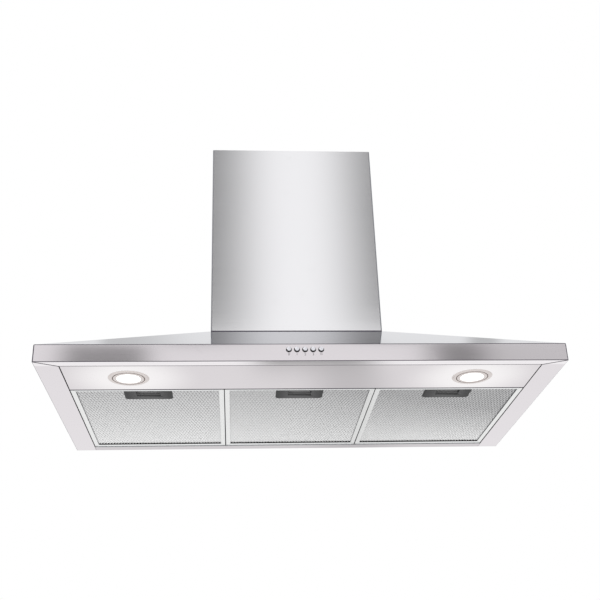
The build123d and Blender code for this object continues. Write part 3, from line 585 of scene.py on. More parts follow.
lens_low, lens_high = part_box("lamp_lenses")
ring_low, ring_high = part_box("lamp_rings")
sink_low, sink_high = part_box("lamp_bodies")
ring_radius = (ring_high.y - ring_low.y) / 2
lens_radius = (lens_high.y - lens_low.y) / 2
sink_radius = (sink_high.y - sink_low.y) / 2
proud = ring_low.z
SEAT = -0.05 * MM                       # the ring and lens start just below the panel
GROOVE_RADIUS, GROOVE_HALF = 27.4 * MM, 0.8 * MM
LIP_OVER_LENS = 1.2 * MM
SINK_FINS, FIN_DEPTH, FIN_LEAST = 36, 4.0 * MM, 20 * MM * MM

trim = grained("lamp_trim", (0.62, 0.565, 0.55), (0.70, 0.65, 0.63), 60.0, 1.0, (0.14, 0.2))
# The groove is painted dark brown: painted shade and grime.
groove_shade_and_grime = grained(
    "groove_shade_and_grime", (0.13, 0.09, 0.08), (0.22, 0.17, 0.15), 200.0, 1.0, (0.5, 0.0)
)
cast = grained(
    "cast_aluminium",
    (0.52, 0.52, 0.53), (0.66, 0.66, 0.67), 700.0, 1.0, (0.38, 0.25), (0.0002, 0.5),
)
frosted, frosted_shader, frosted_place = finish("frosted_lens", roughness=0.5)
frosted_shader.inputs["Emission Strength"].default_value = 1.0
speckle = noise(frosted_place, 400.0, 2.0)
feed(frosted_shader, "Base Color", speckle.blend((0.90, 0.90, 0.88), (0.96, 0.96, 0.94)))
feed(frosted_shader, "Emission Color", speckle.blend((0.97, 0.97, 0.95), (1.0, 1.0, 0.99)))
bump(frosted_shader, speckle, 0.0001, 0.2)

centre = Vector((LAMP_X, LAMP_Y, 0.0))
ring = lathe(
    "lamp_ring_right",
    [
        (lens_radius + 0.1 * MM, SEAT),
        (lens_radius + 0.1 * MM, proud * 0.88),
        (lens_radius - LIP_OVER_LENS, proud * 0.90),
        (lens_radius - LIP_OVER_LENS + 0.4 * MM, proud),
        (GROOVE_RADIUS - 2.4 * MM, proud * 0.98),
        (GROOVE_RADIUS - GROOVE_HALF, proud * 0.8),
        (GROOVE_RADIUS, proud * 0.25),
        (GROOVE_RADIUS + GROOVE_HALF, proud * 0.75),
        (GROOVE_RADIUS + 2.0 * MM, proud * 0.85),
        (ring_radius - 2.4 * MM, proud * 0.7),
        (ring_radius - 0.8 * MM, proud * 0.4),
        (ring_radius, SEAT),
        (lens_radius + 0.1 * MM, SEAT),
    ],
    centre,
)
paint(trim)
paint(groove_shade_and_grime, lambda face: near((mid(face) - centre).xy.length, GROOVE_RADIUS, GROOVE_HALF))
lens = lathe(
    "lamp_lens_right",
    [
        (0.0, SEAT),
        (lens_radius - 0.1 * MM, SEAT),
        (lens_radius - 0.1 * MM, lens_low.z * 0.6),
        (lens_radius - 0.9 * MM, lens_low.z * 0.85),
        (lens_radius * 0.7, lens_low.z * 0.95),
        (0.0, lens_low.z),
    ],
    centre,
)
paint(frosted)
sink = lathe(
    "lamp_sink_right",
    [
        (0.0, 0.02 * MM),
        (sink_radius - 0.5 * MM, 0.02 * MM),
        (sink_radius, 0.5 * MM),
        (sink_radius, 3.0 * MM),
        (sink_radius, sink_high.z - 1.0 * MM),
        (sink_radius - 1.0 * MM, sink_high.z),
        (sink_radius * 0.35, sink_high.z),
        (sink_radius * 0.30, sink_high.z - 2.0 * MM),
        (0.0, sink_high.z - 2.0 * MM),
    ],
    centre,
    steps=2 * SINK_FINS,
)
paint(cast)
choose(
    "FACE",
    lambda face: abs(face.normal.z) < 0.2
    and face.calc_area() > FIN_LEAST
    and sector(mid(face), centre, 2 * SINK_FINS) % 2 == 0,
)
bpy.ops.mesh.extrude_faces_move(TRANSFORM_OT_shrink_fatten={"value": -FIN_DEPTH})

for piece, name, slot, node in (
    (ring, "lamp_ring", "lamp_trim", "lamp_rings"),
    (lens, "lamp_lens", "lamp_glass", "lamp_lenses"),
    (sink, "lamp_sink", "cast_aluminium", "lamp_bodies"),
):
    keep(twin(piece, f"{name}_left", (-2 * LAMP_X, 0, 0)), "canopy", slot, node)
    keep(piece, "canopy", slot, node)
dress(zinc_sheet, "lamp_clips")


# Grease filters: three aluminium channel frames with mitred corners, each holding layers of
# expanded mesh. A dark latch plate with a sprung finger pull sits in each front bar.
HANDS = {"left": -1, "right": 1, "middle": 0}
FILTER_PITCH = 273.0 * MM
SIDE_BAR, FRONT_BAR, REAR_BAR = 9.0 * MM, 11.0 * MM, 12.0 * MM
FRAME_REAR = -23.0 * MM
FRONT_ROUND, EDGE_ROUND = 6.0 * MM, 0.8 * MM
SEAM = 0.35 * MM
PITCH_X, PITCH_Y = 5.9 * MM, 21.0 * MM
STRAND, MESH_SHEET, MESH_RELIEF = 1.4 * MM, 0.30 * MM, 0.3 * MM
KNOTS_FROM_BAR, REAR_SHADE_DEPTH = 2.4 * MM, 5.0 * MM
PLATE_CORNER, PLATE_ROUND = 6.5 * MM, 0.4 * MM
WINDOW_REAR, FINGER_CHAMFER = 27.0 * MM, 3.5 * MM
PULL_ROUND, PULL_DEEP = 0.35 * MM, 3.0 * MM

anodised = grained(
    "anodised",
    (0.75, 0.755, 0.75), (0.82, 0.825, 0.82), (300.0, 6.0, 300.0), 1.0, (0.18, 0.08),
    (0.00002, 0.2),
)
front_bar = grained(
    "front_bar", (0.76, 0.77, 0.77), (0.84, 0.85, 0.85), (6.0, 300.0, 300.0), 1.0, (0.25, 0.0)
)
channel_shade = grained(
    "channel_shade", (0.02, 0.02, 0.02), (0.05, 0.05, 0.05), 150.0, 1.0, (0.6, 0.0)
)
shaded_edge = grained(
    "shaded_edge", (0.16, 0.16, 0.17), (0.22, 0.22, 0.23), 120.0, 1.0, (0.5, 0.0)
)


def foil(name, front, rear):
    """Aluminium foil, painted in shade at the front and lighter toward the wall at the rear,
    with painted shade at the far right.
    """
    material, shader, place = finish(name, metallic=1.0, roughness=0.3)
    flecks = noise(place, (240.0, 90.0, 240.0))
    across, along = place.split()[:2]
    toward_wall = along.step(-0.41, -0.03, "LINEAR")
    painted_shade_right = across.step(0.0, 0.40, "LINEAR") * (1.0 - toward_wall) * 0.80
    feed(shader, "Base Color", (flecks * 0.20 + toward_wall * 0.80 - painted_shade_right).blend(front, rear))
    feed(shader, "Roughness", flecks * 0.1 + 0.25)
    bump(shader, flecks, 0.0002, 0.3)
    return material


strand_foil = foil("strand_foil", (0.50, 0.50, 0.505), (1.0, 1.0, 1.0))
deep_foil = foil("deep_foil", (0.41, 0.41, 0.415), (0.92, 0.92, 0.92))
dress(deep_foil, "filter_mesh_left", "filter_mesh_middle", "filter_mesh_right")

# The plate's moulding is painted paler round its window, a painted sheen, and the pull is
# painted paler toward its top, as painted light on the floor of its recess
latch_black, latch_shader, latch_place = finish("latch_black", roughness=0.42)
latch_shader.inputs["Specular IOR Level"].default_value = 0.08
pitting = noise(latch_place, 900.0)
across = latch_place.split()[0]
from_middle = across.math("PINGPONG", across, FILTER_PITCH / 2)
latch_tone = (1.0 - from_middle.step(0.012, 0.043)) * 0.75 + pitting * 0.25
feed(latch_shader, "Base Color", latch_tone.blend((0.024, 0.024, 0.025), (0.105, 0.105, 0.107)))
feed(latch_shader, "Roughness", pitting * 0.2 + 0.32)
bump(latch_shader, pitting, 0.0001, 0.25)

pull_grey, pull_shader, pull_place = finish("pull_grey", roughness=0.42)
pull_shader.inputs["Specular IOR Level"].default_value = 0.1
dimples = noise(pull_place, 900.0)
pull_tone = pull_place.split()[2].step(0.001, 0.008) * 0.85 + dimples * 0.15
feed(pull_shader, "Base Color", pull_tone.blend((0.075, 0.075, 0.076), (0.50, 0.50, 0.502)))
feed(pull_shader, "Roughness", dimples * 0.2 + 0.32)

frame_low, frame_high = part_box("filter_frame_middle")
mesh_low, mesh_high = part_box("filter_mesh_middle")
plate_low, plate_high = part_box("latch_plate_middle")
window_low = Vector((frame_low.x + SIDE_BAR, frame_low.y + FRONT_BAR, frame_low.z))
window_high = Vector((frame_high.x - SIDE_BAR, FRAME_REAR - REAR_BAR, mesh_low.z))


def take_modifier(piece, kind, **settings):
    """Add a modifier with its settings and apply it."""
    made = piece.modifiers.new(kind.lower(), kind)
    for name, value in settings.items():
        setattr(made, name, value)
    pick(piece)
    bpy.ops.object.modifier_apply(modifier=made.name)


def inner_wall(face):
    """True on the upright walls of the frame's window."""
    spot, spare = mid(face), 0.1 * MM
    return (
        abs(face.normal.z) < 0.1
        and spot.z < window_high.z + spare
        and window_low.x - spare < spot.x < window_high.x + spare
        and window_low.y - spare < spot.y < window_high.y + spare
    )


def on_end_bar(face, edge_y, bar):
    """True on an underside face of the front or rear bar, inside its mitres."""
    spot = mid(face)
    inward = min(spot.x - frame_low.x, frame_high.x - spot.x)
    depth = abs(spot.y - edge_y)
    return face.normal.z < -0.3 and depth < bar and inward / SIDE_BAR > depth / bar


# The frame's bars, with mitred corners and small rounds along their outer edges
filter_frame = merged_copy("filter_frame_middle", "frame_bars_middle")
paint(anodised)
# The window's inner walls are painted with shade, darkest on the rear bar's face.
paint(shaded_edge, inner_wall)
paint(channel_shade, lambda face: inner_wall(face) and face.normal.y < -0.9)
for side, limit, offset, least in (
    ("y", frame_low.y, FRONT_ROUND, 30.0 * MM),
    ("x", frame_low.x, EDGE_ROUND, 60.0 * MM),
    ("x", frame_high.x, EDGE_ROUND, 60.0 * MM),
):
    round_edges(
        offset,
        4,
        lambda edge: ends(
            edge, lambda spot: near(spot.z, frame_low.z) and near(getattr(spot, side), limit)
        )
        and edge.calc_length() > least,
    )
    paint(shaded_edge)
drop_all()
cutters = []
for outer_y, inner_y in ((frame_low.y, window_low.y), (FRAME_REAR, window_high.y)):
    for outer_x, inner_x in ((frame_low.x, window_low.x), (frame_high.x, window_high.x)):
        outer = Vector((outer_x, outer_y))
        run = Vector((inner_x, inner_y)) - outer
        bpy.ops.mesh.primitive_cube_add(size=1.0, location=(*(outer + run / 2), frame_low.z))
        cutter = bpy.context.active_object
        cutter.scale = (run.length * 1.1, SEAM, SEAM)
        cutter.rotation_euler.z = -Vector((1, 0)).angle_signed(run)
        cutters.append(cutter)
for cutter in cutters:
    cutter.select_set(True)
bpy.ops.object.join()
cutter = bpy.context.active_object
take_modifier(filter_frame, "BOOLEAN", operation="DIFFERENCE", object=cutter, solver="EXACT")
bpy.data.objects.remove(cutter)
bpy.ops.object.mode_set(mode="EDIT")
paint(anodised, lambda face: face.normal.z < -0.3)
paint(shaded_edge, lambda face: -0.95 < face.normal.z < -0.3 and abs(face.normal.x) > 0.2)
paint(front_bar, lambda face: on_end_bar(face, FRAME_REAR, REAR_BAR))
paint(front_bar, lambda face: on_end_bar(face, frame_low.y, FRONT_BAR))
# The front bar's rounded nose is painted dark: painted shade of the gap under the panel's edge.
paint(painted_shade_dark, lambda face: face.normal.y < -0.1 and face.normal.z < -0.1)

# The lowest mesh layer: diamonds of slit and stretched foil, its knots standing proud
drop_all()
bpy.ops.mesh.primitive_circle_add(vertices=4, radius=0.5, fill_type="NGON", location=(0, 0, 0))
layer = bpy.context.active_object
layer.name = layer.data.name = "mesh_layer_middle"
layer.scale = (PITCH_X, PITCH_Y, 1.0)
bpy.ops.object.transform_apply(location=False, rotation=False, scale=True)
edit_all()
bpy.ops.mesh.inset(thickness=STRAND / 2)
bpy.ops.mesh.delete(type="FACE")
choose("VERT", lambda vert: abs(vert.co.y) > abs(vert.co.x))
bpy.ops.transform.translate(value=(0, 0, MESH_RELIEF))
bpy.ops.mesh.select_all(action="SELECT")
bpy.ops.mesh.duplicate()
bpy.ops.transform.translate(value=(PITCH_X / 2, PITCH_Y / 2, 0))
drop_all()
columns = int((window_high.x - window_low.x) / PITCH_X) + 2
rows = int((window_high.y - window_low.y) / PITCH_Y) + 2
for count, step in ((columns, (PITCH_X, 0, 0)), (rows, (0, PITCH_Y, 0))):
    take_modifier(
        layer, "ARRAY", count=count, use_relative_offset=False,
        use_constant_offset=True, constant_offset_displace=step,
    )
layer.location = (
    window_low.x - PITCH_X / 2,
    window_high.y - KNOTS_FROM_BAR - (rows - 1) * PITCH_Y,
    window_high.z - MESH_RELIEF - MESH_SHEET - 0.1 * MM,
)
pick(layer)
bpy.ops.object.transform_apply(location=True, rotation=False, scale=False)
bpy.ops.object.mode_set(mode="EDIT")
for place, outside_of, cut in (
    ((window_low.x, 0, 0), (-1, 0, 0), True),
    ((window_high.x, 0, 0), (1, 0, 0), True),
    ((0, window_low.y, 0), (0, -1, 0), True),
    ((0, window_high.y, 0), (0, 1, 0), True),
    ((plate_low.x, 0, 0), (1, 0, 0), False),
    ((plate_high.x, 0, 0), (1, 0, 0), False),
    ((0, plate_high.y, 0), (0, 1, 0), False),
):
    bpy.ops.mesh.select_all(action="SELECT")
    bpy.ops.mesh.bisect(plane_co=place, plane_no=outside_of, clear_outer=cut)
choose(
    "FACE",
    lambda face: plate_low.x < mid(face).x < plate_high.x and mid(face).y < plate_high.y,
)
bpy.ops.mesh.delete(type="FACE")
bpy.ops.mesh.select_all(action="SELECT")
bpy.ops.mesh.remove_doubles(threshold=0.00001)
drop_all()
take_modifier(layer, "SOLIDIFY", thickness=MESH_SHEET, offset=1.0)
layer.data.materials.append(strand_foil)


def block(name, centre, size):
    """A rectangular start for a small piece, in edit mode with all of it selected."""
    drop_all()
    bpy.ops.mesh.primitive_cube_add(size=1.0, location=centre, scale=size)
    piece = bpy.context.active_object
    piece.name = piece.data.name = name
    bpy.ops.object.transform_apply(location=True, rotation=False, scale=True)
    edit_all()
    return piece


# A thin dark sheet at the rear, painted shade for the channel that the mesh's last row of knots
# crosses
shade_sheet = block(
    "rear_shade_sheet_middle",
    (
        (window_low.x + window_high.x) / 2,
        window_high.y - REAR_SHADE_DEPTH / 2 - 0.5 * MM,
        window_high.z - 0.03 * MM,
    ),
    (window_high.x - window_low.x, REAR_SHADE_DEPTH + 1.0 * MM, 0.04 * MM),
)
bpy.ops.mesh.bevel(offset=0.01 * MM, segments=1, affect="EDGES")
paint(channel_shade)

# The latch plate, with rounded rear corners, and its sprung finger pull
plate = merged_copy("latch_plate_middle", "latch_cover_middle")
paint(latch_black)
round_edges(
    PLATE_CORNER,
    6,
    lambda edge: ends(
        edge,
        lambda spot: near(spot.y, plate_high.y)
        and (near(spot.x, plate_low.x) or near(spot.x, plate_high.x)),
    )
    and not near(edge.verts[0].co.z, edge.verts[1].co.z, 0.2 * MM),
)
window_rear = plate_low.y + WINDOW_REAR
round_edges(
    FINGER_CHAMFER,
    3,
    lambda edge: ends(
        edge, lambda spot: near(spot.z, plate_low.z) and near(spot.y, window_rear)
    ),
)
round_edges(
    PLATE_ROUND,
    2,
    lambda edge: ends(edge, lambda spot: near(spot.z, plate_low.z)) and sharp(edge, 30),
)
pull_piece = merged_copy("latch_slider_middle", "finger_pull_middle")
paint(pull_grey)
round_edges(
    PULL_ROUND,
    2,
    lambda edge: sharp(edge, 60) and ends(edge, lambda spot: spot.z < plate_high.z - PULL_DEEP),
)

upper_layer = twin(layer, "upper_mesh_middle", (0, 0, mesh_high.z - mesh_low.z + 0.7 * MM))
for hand, side in HANDS.items():
    shift = (side * FILTER_PITCH, 0, 0)
    for piece, name, slot, node in (
        (filter_frame, "frame_bars", "filter_aluminium", "filter_frame"),
        (layer, "mesh_layer", "filter_mesh", None),
        (upper_layer, "upper_mesh", "filter_mesh", None),
        (shade_sheet, "rear_shade_sheet", "filter_mesh", None),
        (plate, "latch_cover", "latch_plastic", "latch_plate"),
        (pull_piece, "finger_pull", "latch_plastic", "latch_slider"),
    ):
        mine = twin(piece, f"{name}_{hand}", shift) if side else piece
        body = f"latch_{hand}" if name == "finger_pull" else f"filter_{hand}"
        keep(mine, body, slot, *([f"{node}_{hand}"] if node else []))


# Push buttons: polished plated caps with a domed face over a skirt painted black as painted
# shade, in a row of five.
# Small printed marks stand below them: 0 to 3 for the fan, and a ring for the lamps.
BUTTON_PITCH = 13.6 * MM
BUTTONS = (
    ("off", -2, "0"), ("speed_1", -1, "1"), ("speed_3", 1, "3"), ("lamp", 2, None),
    ("speed_2", 0, "2"),
)
CAP_FACE = 3.5 * MM
CAP_SKIRT = 0.6 * MM
MARK_TOP, MARK_HEIGHT, MARK_STAND = 14.2 * MM, 4.2 * MM, 0.05 * MM
LETTER_SHARE = 0.7                      # a numeral's height as a share of its type size
RING_SHARE, RING_LINE = 0.42, 0.5 * MM

plated = grained("plated_cap", (0.72, 0.72, 0.76), (0.80, 0.80, 0.84), 200.0, 1.0, (0.42, 0.1))
black = grained(
    "black_moulding",
    (0.012, 0.012, 0.013), (0.028, 0.028, 0.03), 500.0, 0.0, (0.34, 0.2), (0.0001, 0.25),
)
ink = grained("printed_mark", (0.07, 0.065, 0.07), (0.14, 0.13, 0.135), 900.0, rough=(0.6, 0.0))


def printed(name, x, shape):
    """Turn a flat shape into a printed mark on the front, below the cap at x."""
    shape.name = shape.data.name = name
    pick(shape)
    bpy.ops.object.convert(target="MESH")
    edit_all()
    bpy.ops.mesh.remove_doubles(threshold=0.000001)
    bpy.ops.transform.rotate(value=-pi / 2, orient_axis="X", center_override=(0, 0, 0))
    spots = [vert.co.copy() for vert in bmesh.from_edit_mesh(shape.data).verts]
    middle_x = (min(spot.x for spot in spots) + max(spot.x for spot in spots)) / 2
    top = max(spot.z for spot in spots)
    front = canopy_low.y - MARK_STAND
    bpy.ops.transform.translate(value=(x - middle_x, front - spots[0].y, MARK_TOP - top))
    paint(ink)
    keep(shape, "canopy", "steel_skin")


cap_low, cap_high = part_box("button_speed_2")
cap_radius = (cap_high.x - cap_low.x) / 2
cap_centre = Vector(((cap_low.x + cap_high.x) / 2, 0.0, (cap_low.z + cap_high.z) / 2))
cap = lathe(
    "cap_speed_2",
    [
        (0.0, cap_low.y),
        (CAP_FACE * 0.6, cap_low.y + 0.05 * MM),
        (CAP_FACE * 0.9, cap_low.y + 0.20 * MM),
        (CAP_FACE, cap_low.y + 0.50 * MM),
        (CAP_FACE + 0.05 * MM, cap_low.y + 0.9 * MM),
        (CAP_FACE + 0.35 * MM, cap_low.y + 2.2 * MM),
        (cap_radius - 0.2 * MM, cap_low.y + 3.6 * MM),
        (cap_radius, cap_low.y + 4.1 * MM),
        (cap_radius, cap_high.y),
        (0.0, cap_high.y),
    ],
    cap_centre,
    "Y",
    steps=40,
)
paint(plated)
# The skirt is painted black: painted shade and dark reflection under the cap.
paint(black, lambda face: mid(face).y > cap_low.y + CAP_SKIRT)
drop_all()

for name, place, letter in BUTTONS:
    shift = (place * BUTTON_PITCH, 0, 0)
    mine = twin(cap, f"cap_{name}", shift) if place else cap
    keep(mine, f"button_{name}", "button_metal", f"button_{name}")
    if letter:
        bpy.ops.object.text_add(location=(0, 0, 0))
        mark = bpy.context.active_object
        mark.data.body = letter
        mark.data.size = MARK_HEIGHT / LETTER_SHARE
    else:
        bpy.ops.mesh.primitive_circle_add(
            vertices=32, radius=MARK_HEIGHT * RING_SHARE, fill_type="NGON", location=(0, 0, 0)
        )
        mark = bpy.context.active_object
        edit_all()
        bpy.ops.mesh.inset(thickness=RING_LINE)
        bpy.ops.mesh.delete(type="FACE")
        bpy.ops.object.mode_set(mode="OBJECT")
    printed(f"mark_{name}", cap_centre.x + shift[0], mark)


# Blower and motor: two pressed zinc halves, a moulded drum on a steel shaft, and a motor
# with a stoved case, held by a three-armed plate across the left inlet.
VOLUTE_EDGE, MOTOR_EDGE, ARM_EDGE = 1.2 * MM, 0.8 * MM, 0.3 * MM
AXIS_Y, AXIS_Z = -168.0 * MM, 256.5 * MM
INLET_CLEAR = 68.0 * MM

grey = grained(
    "grey_moulding",
    (0.10, 0.105, 0.115), (0.14, 0.145, 0.155), 300.0, 0.0, (0.34, 0.2), (0.0001, 0.2),
)
stoved = grained(
    "stoved_case",
    (0.030, 0.032, 0.038), (0.045, 0.047, 0.054), 450.0, 0.0, (0.3, 0.2), (0.0001, 0.3),
)
bright = grained(
    "bright_steel", (0.50, 0.50, 0.51), (0.62, 0.62, 0.63), (900.0, 60.0, 60.0), 1.0, (0.2, 0.2)
)
sinter = grained(
    "sintered_bronze", (0.34, 0.22, 0.11), (0.48, 0.33, 0.18), 1500.0, 1.0, (0.4, 0.2)
)


def rounded(node, name, material, offset, wanted=lambda spot: True):
    """A merged copy of a CAD piece, its sharp outer edges rounded where wanted, in edit mode."""
    piece = merged_copy(node, name)
    paint(material)
    round_edges(
        offset, 2, lambda edge: sharp(edge, 50) and edge.is_convex and ends(edge, wanted)
    )
    return piece


for hand in ("left", "right"):
    volute_low, volute_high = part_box(f"volute_{hand}")
    side_x = volute_low.x if hand == "left" else volute_high.x
    half = rounded(
        f"volute_{hand}",
        f"volute_shell_{hand}",
        zinc_sheet,
        VOLUTE_EDGE,
        lambda spot: near(spot.x, side_x)
        and Vector((spot.y - AXIS_Y, spot.z - AXIS_Z)).length > INLET_CLEAR,
    )
    keep(half, "canopy", "galvanised", f"volute_{hand}")

case = rounded("motor_case", "motor_shell", stoved, MOTOR_EDGE)
keep(case, "canopy", "motor_paint", "motor_case")
arms = rounded("motor_bracket", "motor_arms", zinc_sheet, ARM_EDGE)
keep(arms, "canopy", "galvanised", "motor_bracket")
dress(grey, "impeller", "flap_front", "flap_rear")
dress(bright, "fan_shaft", "flap_pin", "foot_bolts")
dress(sinter, "motor_bearings")


# Motor box: folded zinc sheet with swaged panels in its sides, screwed to its rear cover.
# The moulded duct collar on its top is held by four screws and has a bead for the hose clip.
BOX_EDGE = 1.4 * MM
BOX_HALF, BOX_TOP, BOX_REAR, BOX_FRONT = 145.0 * MM, 380.0 * MM, -18.0 * MM, -290.0 * MM
SIDE_LEAST = 0.02                       # a side of the box is larger than this, in m2
PANEL_MARGIN, SWAGE, SWAGE_DEPTH = 22.0 * MM, 3.0 * MM, 0.7 * MM
BOX_SCREW, COLLAR_SCREW = 3.4 * MM, 2.2 * MM
COLLAR_X, COLLAR_Y = 0.0, -111.0 * MM
COLLAR_SCREW_REACH, FLANGE_TOP = 78.4 * MM, 382.0 * MM
COLLAR_PROFILE = (
    (71.5, 380.0), (81.5, 380.0), (81.5, 382.0), (75.4, 382.3), (74.0, 384.0),
    (74.0, 402.0), (74.8, 403.0), (74.8, 405.0), (74.0, 406.0), (74.0, 423.5),
    (73.4, 425.0), (72.2, 425.0), (71.5, 424.0), (71.5, 380.0),
)


def screws(name, spots, radius, axis="Z"):
    """Cross-recessed pan-head screws at spots, one piece; their heads look along the axis."""
    tall = radius * 0.75
    spots = [Vector(spot) for spot in spots]
    head = lathe(
        name,
        [
            (0.0, tall),
            (radius * 0.55, tall * 0.96),
            (radius * 0.85, tall * 0.75),
            (radius, tall * 0.35),
            (radius, 0.0),
            (0.0, 0.0),
        ],
        spots[0],
        axis,
        steps=24,
    )
    paint(bright)
    choose(
        "FACE",
        lambda face: len(face.verts) == 3
        and tall * 0.8 < (mid(face) - spots[0]).length < tall * 1.2
        and sector(mid(face), spots[0], 24, axis) % 6 == 0,
    )
    sunk = AXES[axis] * tall * -0.5
    bpy.ops.mesh.extrude_region_move(TRANSFORM_OT_translate={"value": sunk})
    drop_all()
    others = [
        twin(head, f"{name}_{count}", spot - spots[0]) for count, spot in enumerate(spots[1:])
    ]
    pick(head)
    for other in others:
        other.select_set(True)
    bpy.ops.object.join()
    keep(head, "canopy", "bolt_steel")


def on_box_fold(spot):
    """True on the outer folds round the motor box's top."""
    sides = (abs(spot.x) - BOX_HALF, spot.y - BOX_REAR, spot.y - BOX_FRONT)
    return near(spot.z, BOX_TOP) and min(abs(side) for side in sides) < TOUCH


box = rounded("motor_box", "blower_box", zinc_sheet, BOX_EDGE, on_box_fold)
choose(
    "FACE",
    lambda face: len(face.verts) == 4
    and face.calc_area() > SIDE_LEAST
    and abs(face.normal.z) < 0.1
    and face.normal.dot(mid(face) - Vector((0, AXIS_Y, AXIS_Z))) > 0,
)
bpy.ops.mesh.inset(thickness=PANEL_MARGIN, use_individual=True)
bpy.ops.mesh.inset(thickness=SWAGE, depth=-SWAGE_DEPTH, use_individual=True)
keep(box, "canopy", "galvanised", "motor_box")
screws(
    "box_screws",
    [(x, y, BOX_TOP) for x in (-0.134, 0.134) for y in (-0.281, -0.027)],
    BOX_SCREW,
)
screws(
    "cover_screws",
    [(x, BOX_REAR, z) for x in (-0.134, 0.134) for z in (0.150, 0.255, 0.360)],
    BOX_SCREW,
    "Y",
)

collar = lathe(
    "duct_collar_ring",
    [(radius * MM, height * MM) for radius, height in COLLAR_PROFILE],
    (COLLAR_X, COLLAR_Y, 0.0),
    steps=72,
)
paint(grey)
keep(collar, "canopy", "grey_plastic", "outlet_collar")
screws(
    "collar_screws",
    [
        (
            COLLAR_X + COLLAR_SCREW_REACH * cos(turn),
            COLLAR_Y + COLLAR_SCREW_REACH * sin(turn),
            FLANGE_TOP,
        )
        for turn in (pi / 4, 3 * pi / 4, 5 * pi / 4, 7 * pi / 4)
    ],
    COLLAR_SCREW,
)


# Electrics: a moulded terminal box with a screwed lid and a cord gland, the motor's
# capacitor with its two spade tabs, the lamps' driver, and the switch behind the buttons.
LID_SCREW, LID_SCREW_IN = 2.4 * MM, 6.0 * MM
STORE_EDGE = 2.0 * MM
TAB_WIDTH, TAB_SHEET, TAB_TALL = 6.3 * MM, 0.8 * MM, 8.0 * MM
TAB_IN, TAB_CORNER = 16.0 * MM, 1.4 * MM

white = grained(
    "white_moulding",
    (0.68, 0.68, 0.65), (0.76, 0.76, 0.73), 400.0, 0.0, (0.34, 0.2), (0.0001, 0.2),
)
for node, name, material, offset, slot in (
    ("terminal_box", "terminal_tray", black, 0.5 * MM, "black_plastic"),
    ("terminal_lid", "terminal_cover", black, 0.6 * MM, "black_plastic"),
    ("cable_gland", "cord_gland", black, 0.4 * MM, "black_plastic"),
    ("lamp_driver", "driver_case", white, 1.2 * MM, "white_plastic"),
    ("switch_block", "switch_case", black, 0.4 * MM, "black_plastic"),
    ("switch_bracket", "switch_carrier", zinc_sheet, 0.25 * MM, "galvanised"),
):
    keep(rounded(node, name, material, offset), "canopy", slot, node)

store_low, store_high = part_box("capacitor")
store = rounded(
    "capacitor",
    "capacitor_case",
    white,
    STORE_EDGE,
    lambda spot: spot.z > store_high.z - 0.1 * MM,
)
keep(store, "canopy", "white_plastic", "capacitor")

lid_low, lid_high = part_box("terminal_lid")
screws(
    "lid_screws",
    [
        (x, y, lid_high.z)
        for x in (lid_low.x + LID_SCREW_IN, lid_high.x - LID_SCREW_IN)
        for y in (lid_low.y + LID_SCREW_IN, lid_high.y - LID_SCREW_IN)
    ],
    LID_SCREW,
)

tab = block(
    "spade_tab_1",
    (
        store_low.x + TAB_IN,
        (store_low.y + store_high.y) / 2,
        store_high.z + TAB_TALL / 2 - 0.5 * MM,
    ),
    (TAB_WIDTH, TAB_SHEET, TAB_TALL),
)
round_edges(
    TAB_CORNER,
    1,
    lambda edge: ends(edge, lambda spot: spot.z > store_high.z + 1.0 * MM)
    and near(edge.verts[0].co.x, edge.verts[1].co.x, 0.1 * MM),
)
paint(bright)
other_tab = twin(tab, "spade_tab_2", (TAB_IN, 0, 0))
keep(tab, "canopy", "bolt_steel")
keep(other_tab, "canopy", "bolt_steel")


# The studio: a pale floor well below the hood and a white room. In mirror rays the room
# has the soft dark flags that stood round the hood, which give its steel its shading.
FLOOR_Z, FLOOR_RADIUS = -1.95, 3.0
DEGREES = 180 / pi
LOW_FLAGS = (10.0, 23.2, 0.4)
DARKEST, DIFFUSE_ROOM = 0.12, 0.75

drop_all()
bpy.ops.mesh.primitive_circle_add(
    vertices=96, radius=FLOOR_RADIUS, fill_type="NGON", location=(0, 0, FLOOR_Z)
)
floor = bpy.context.active_object
floor.name = "floor"
floor_paint, floor_shader, floor_place = finish("floor_paint", roughness=0.8)
pale = noise(floor_place, 3.0).blend((0.86, 0.86, 0.86), (0.90, 0.90, 0.90))
feed(floor_shader, "Base Color", pale)
seen = Wire(floor_place.tree).node("ShaderNodeLightPath")
lit = (seen + seen.output("Is Glossy Ray")).blend((0, 0, 0), (0.33, 0.33, 0.33))
feed(floor_shader, "Emission Color", lit)
floor_shader.inputs["Emission Strength"].default_value = 1.0
floor.data.materials.append(floor_paint)

world = bpy.data.worlds.new("white_room")
bpy.context.scene.world = world
world.use_nodes = True
room = Wire(world.node_tree)
across, along, height = room.node("ShaderNodeTexCoord").split()
from_front = across.math("ARCTAN2", across, 0.0 - along) * DEGREES
from_back = across.math("ARCTAN2", across, along) * DEGREES
rise = height.math("ARCSINE", height) * DEGREES
dip = height.math("ARCTAN2", 0.0 - height, along) * DEGREES


def within(angle, low, high, soft):
    """1 where an angle lies between low and high degrees, with soft ends."""
    return angle.step(low - soft, low + soft) * (1.0 - angle.step(high - soft, high + soft))


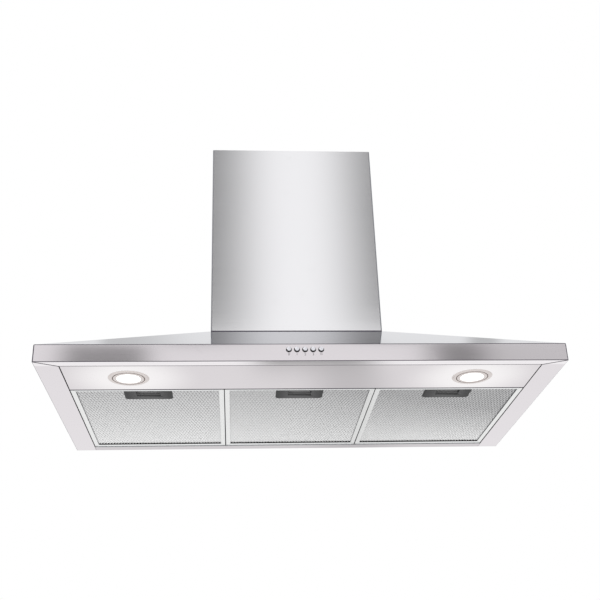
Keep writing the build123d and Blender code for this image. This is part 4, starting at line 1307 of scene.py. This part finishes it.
# Each flag: its span round the hood, its span of height, and how much light it takes
off_middle = abs(from_front - 4.3)
flag_high = off_middle.step(0.97, 6.9) * within(off_middle, -9.0, 8.8, 1.2)
flag_high = flag_high * within(rise, 23.5, 46.0, 0.3) * 0.78
flag_left = within(from_front, -11.0, -5.6, 1.0) * within(rise, *LOW_FLAGS) * 0.64
flag_right = within(from_front, 12.6, 16.1, 1.2) * within(rise, *LOW_FLAGS) * 0.45
flag_end = within(from_front, 13.0, 30.0, 1.5) * within(rise, *LOW_FLAGS) * 0.28
flag_wing = within(from_back, -9.8, 9.0, 0.7) * (1.0 - from_back.step(-8.5, -2.0)) * 0.28
flag_tip = within(from_back, 17.3, 19.4, 0.7) * 0.36
flag_wings = (flag_wing + flag_tip) * within(rise, 30.0, 41.0, 2.0)
flag_lip = within(from_back, 1.3, 9.0, 1.4) * within(dip, 21.7, 26.0, 0.1) * 0.45
flag_behind = within(from_back, 5.4, 9.6, 1.8) * within(dip, 16.0, 21.6, 0.3) * 0.25
flag_side = within(abs(from_front), 42.0, 138.0, 14.0) * within(rise, -40.0, 70.0, 20.0) * 0.36
mirrored = 1.0 - flag_high - flag_left - flag_right - flag_end - flag_wings
mirrored = mirrored - flag_lip - flag_behind - flag_side
mirrored = mirrored.math("MAXIMUM", mirrored, DARKEST)

ray = room.node("ShaderNodeLightPath")
glossy = ray.output("Is Glossy Ray")
clear = ray + ray.output("Is Transmission Ray")
background = world.node_tree.nodes["Background"]
background.inputs["Color"].default_value = (1.0, 1.0, 1.0, 1.0)
feed(background, "Strength", clear + glossy * mirrored + (1.0 - clear - glossy) * DIFFUSE_ROOM)


def soft_box(name, place, size, power):
    """An area light at place that faces the hood."""
    data = bpy.data.lights.new(name, "AREA")
    data.shape, data.size, data.energy = "SQUARE", size, power
    light = bpy.data.objects.new(name, data)
    bpy.context.collection.objects.link(light)
    light.location = place
    aim = Vector((0, -0.25, 0.1)) - light.location
    light.rotation_euler = aim.to_track_quat("-Z", "Y").to_euler()


# One broad soft box above and to the left of the camera, and a weaker one to the right
soft_box("key_box", (-1.9, -2.0, 1.9), 1.2, 26.0)
soft_box("fill_box", (2.2, -1.4, 0.9), 1.0, 10.0)

bpy.context.scene.view_settings.view_transform = "Standard"
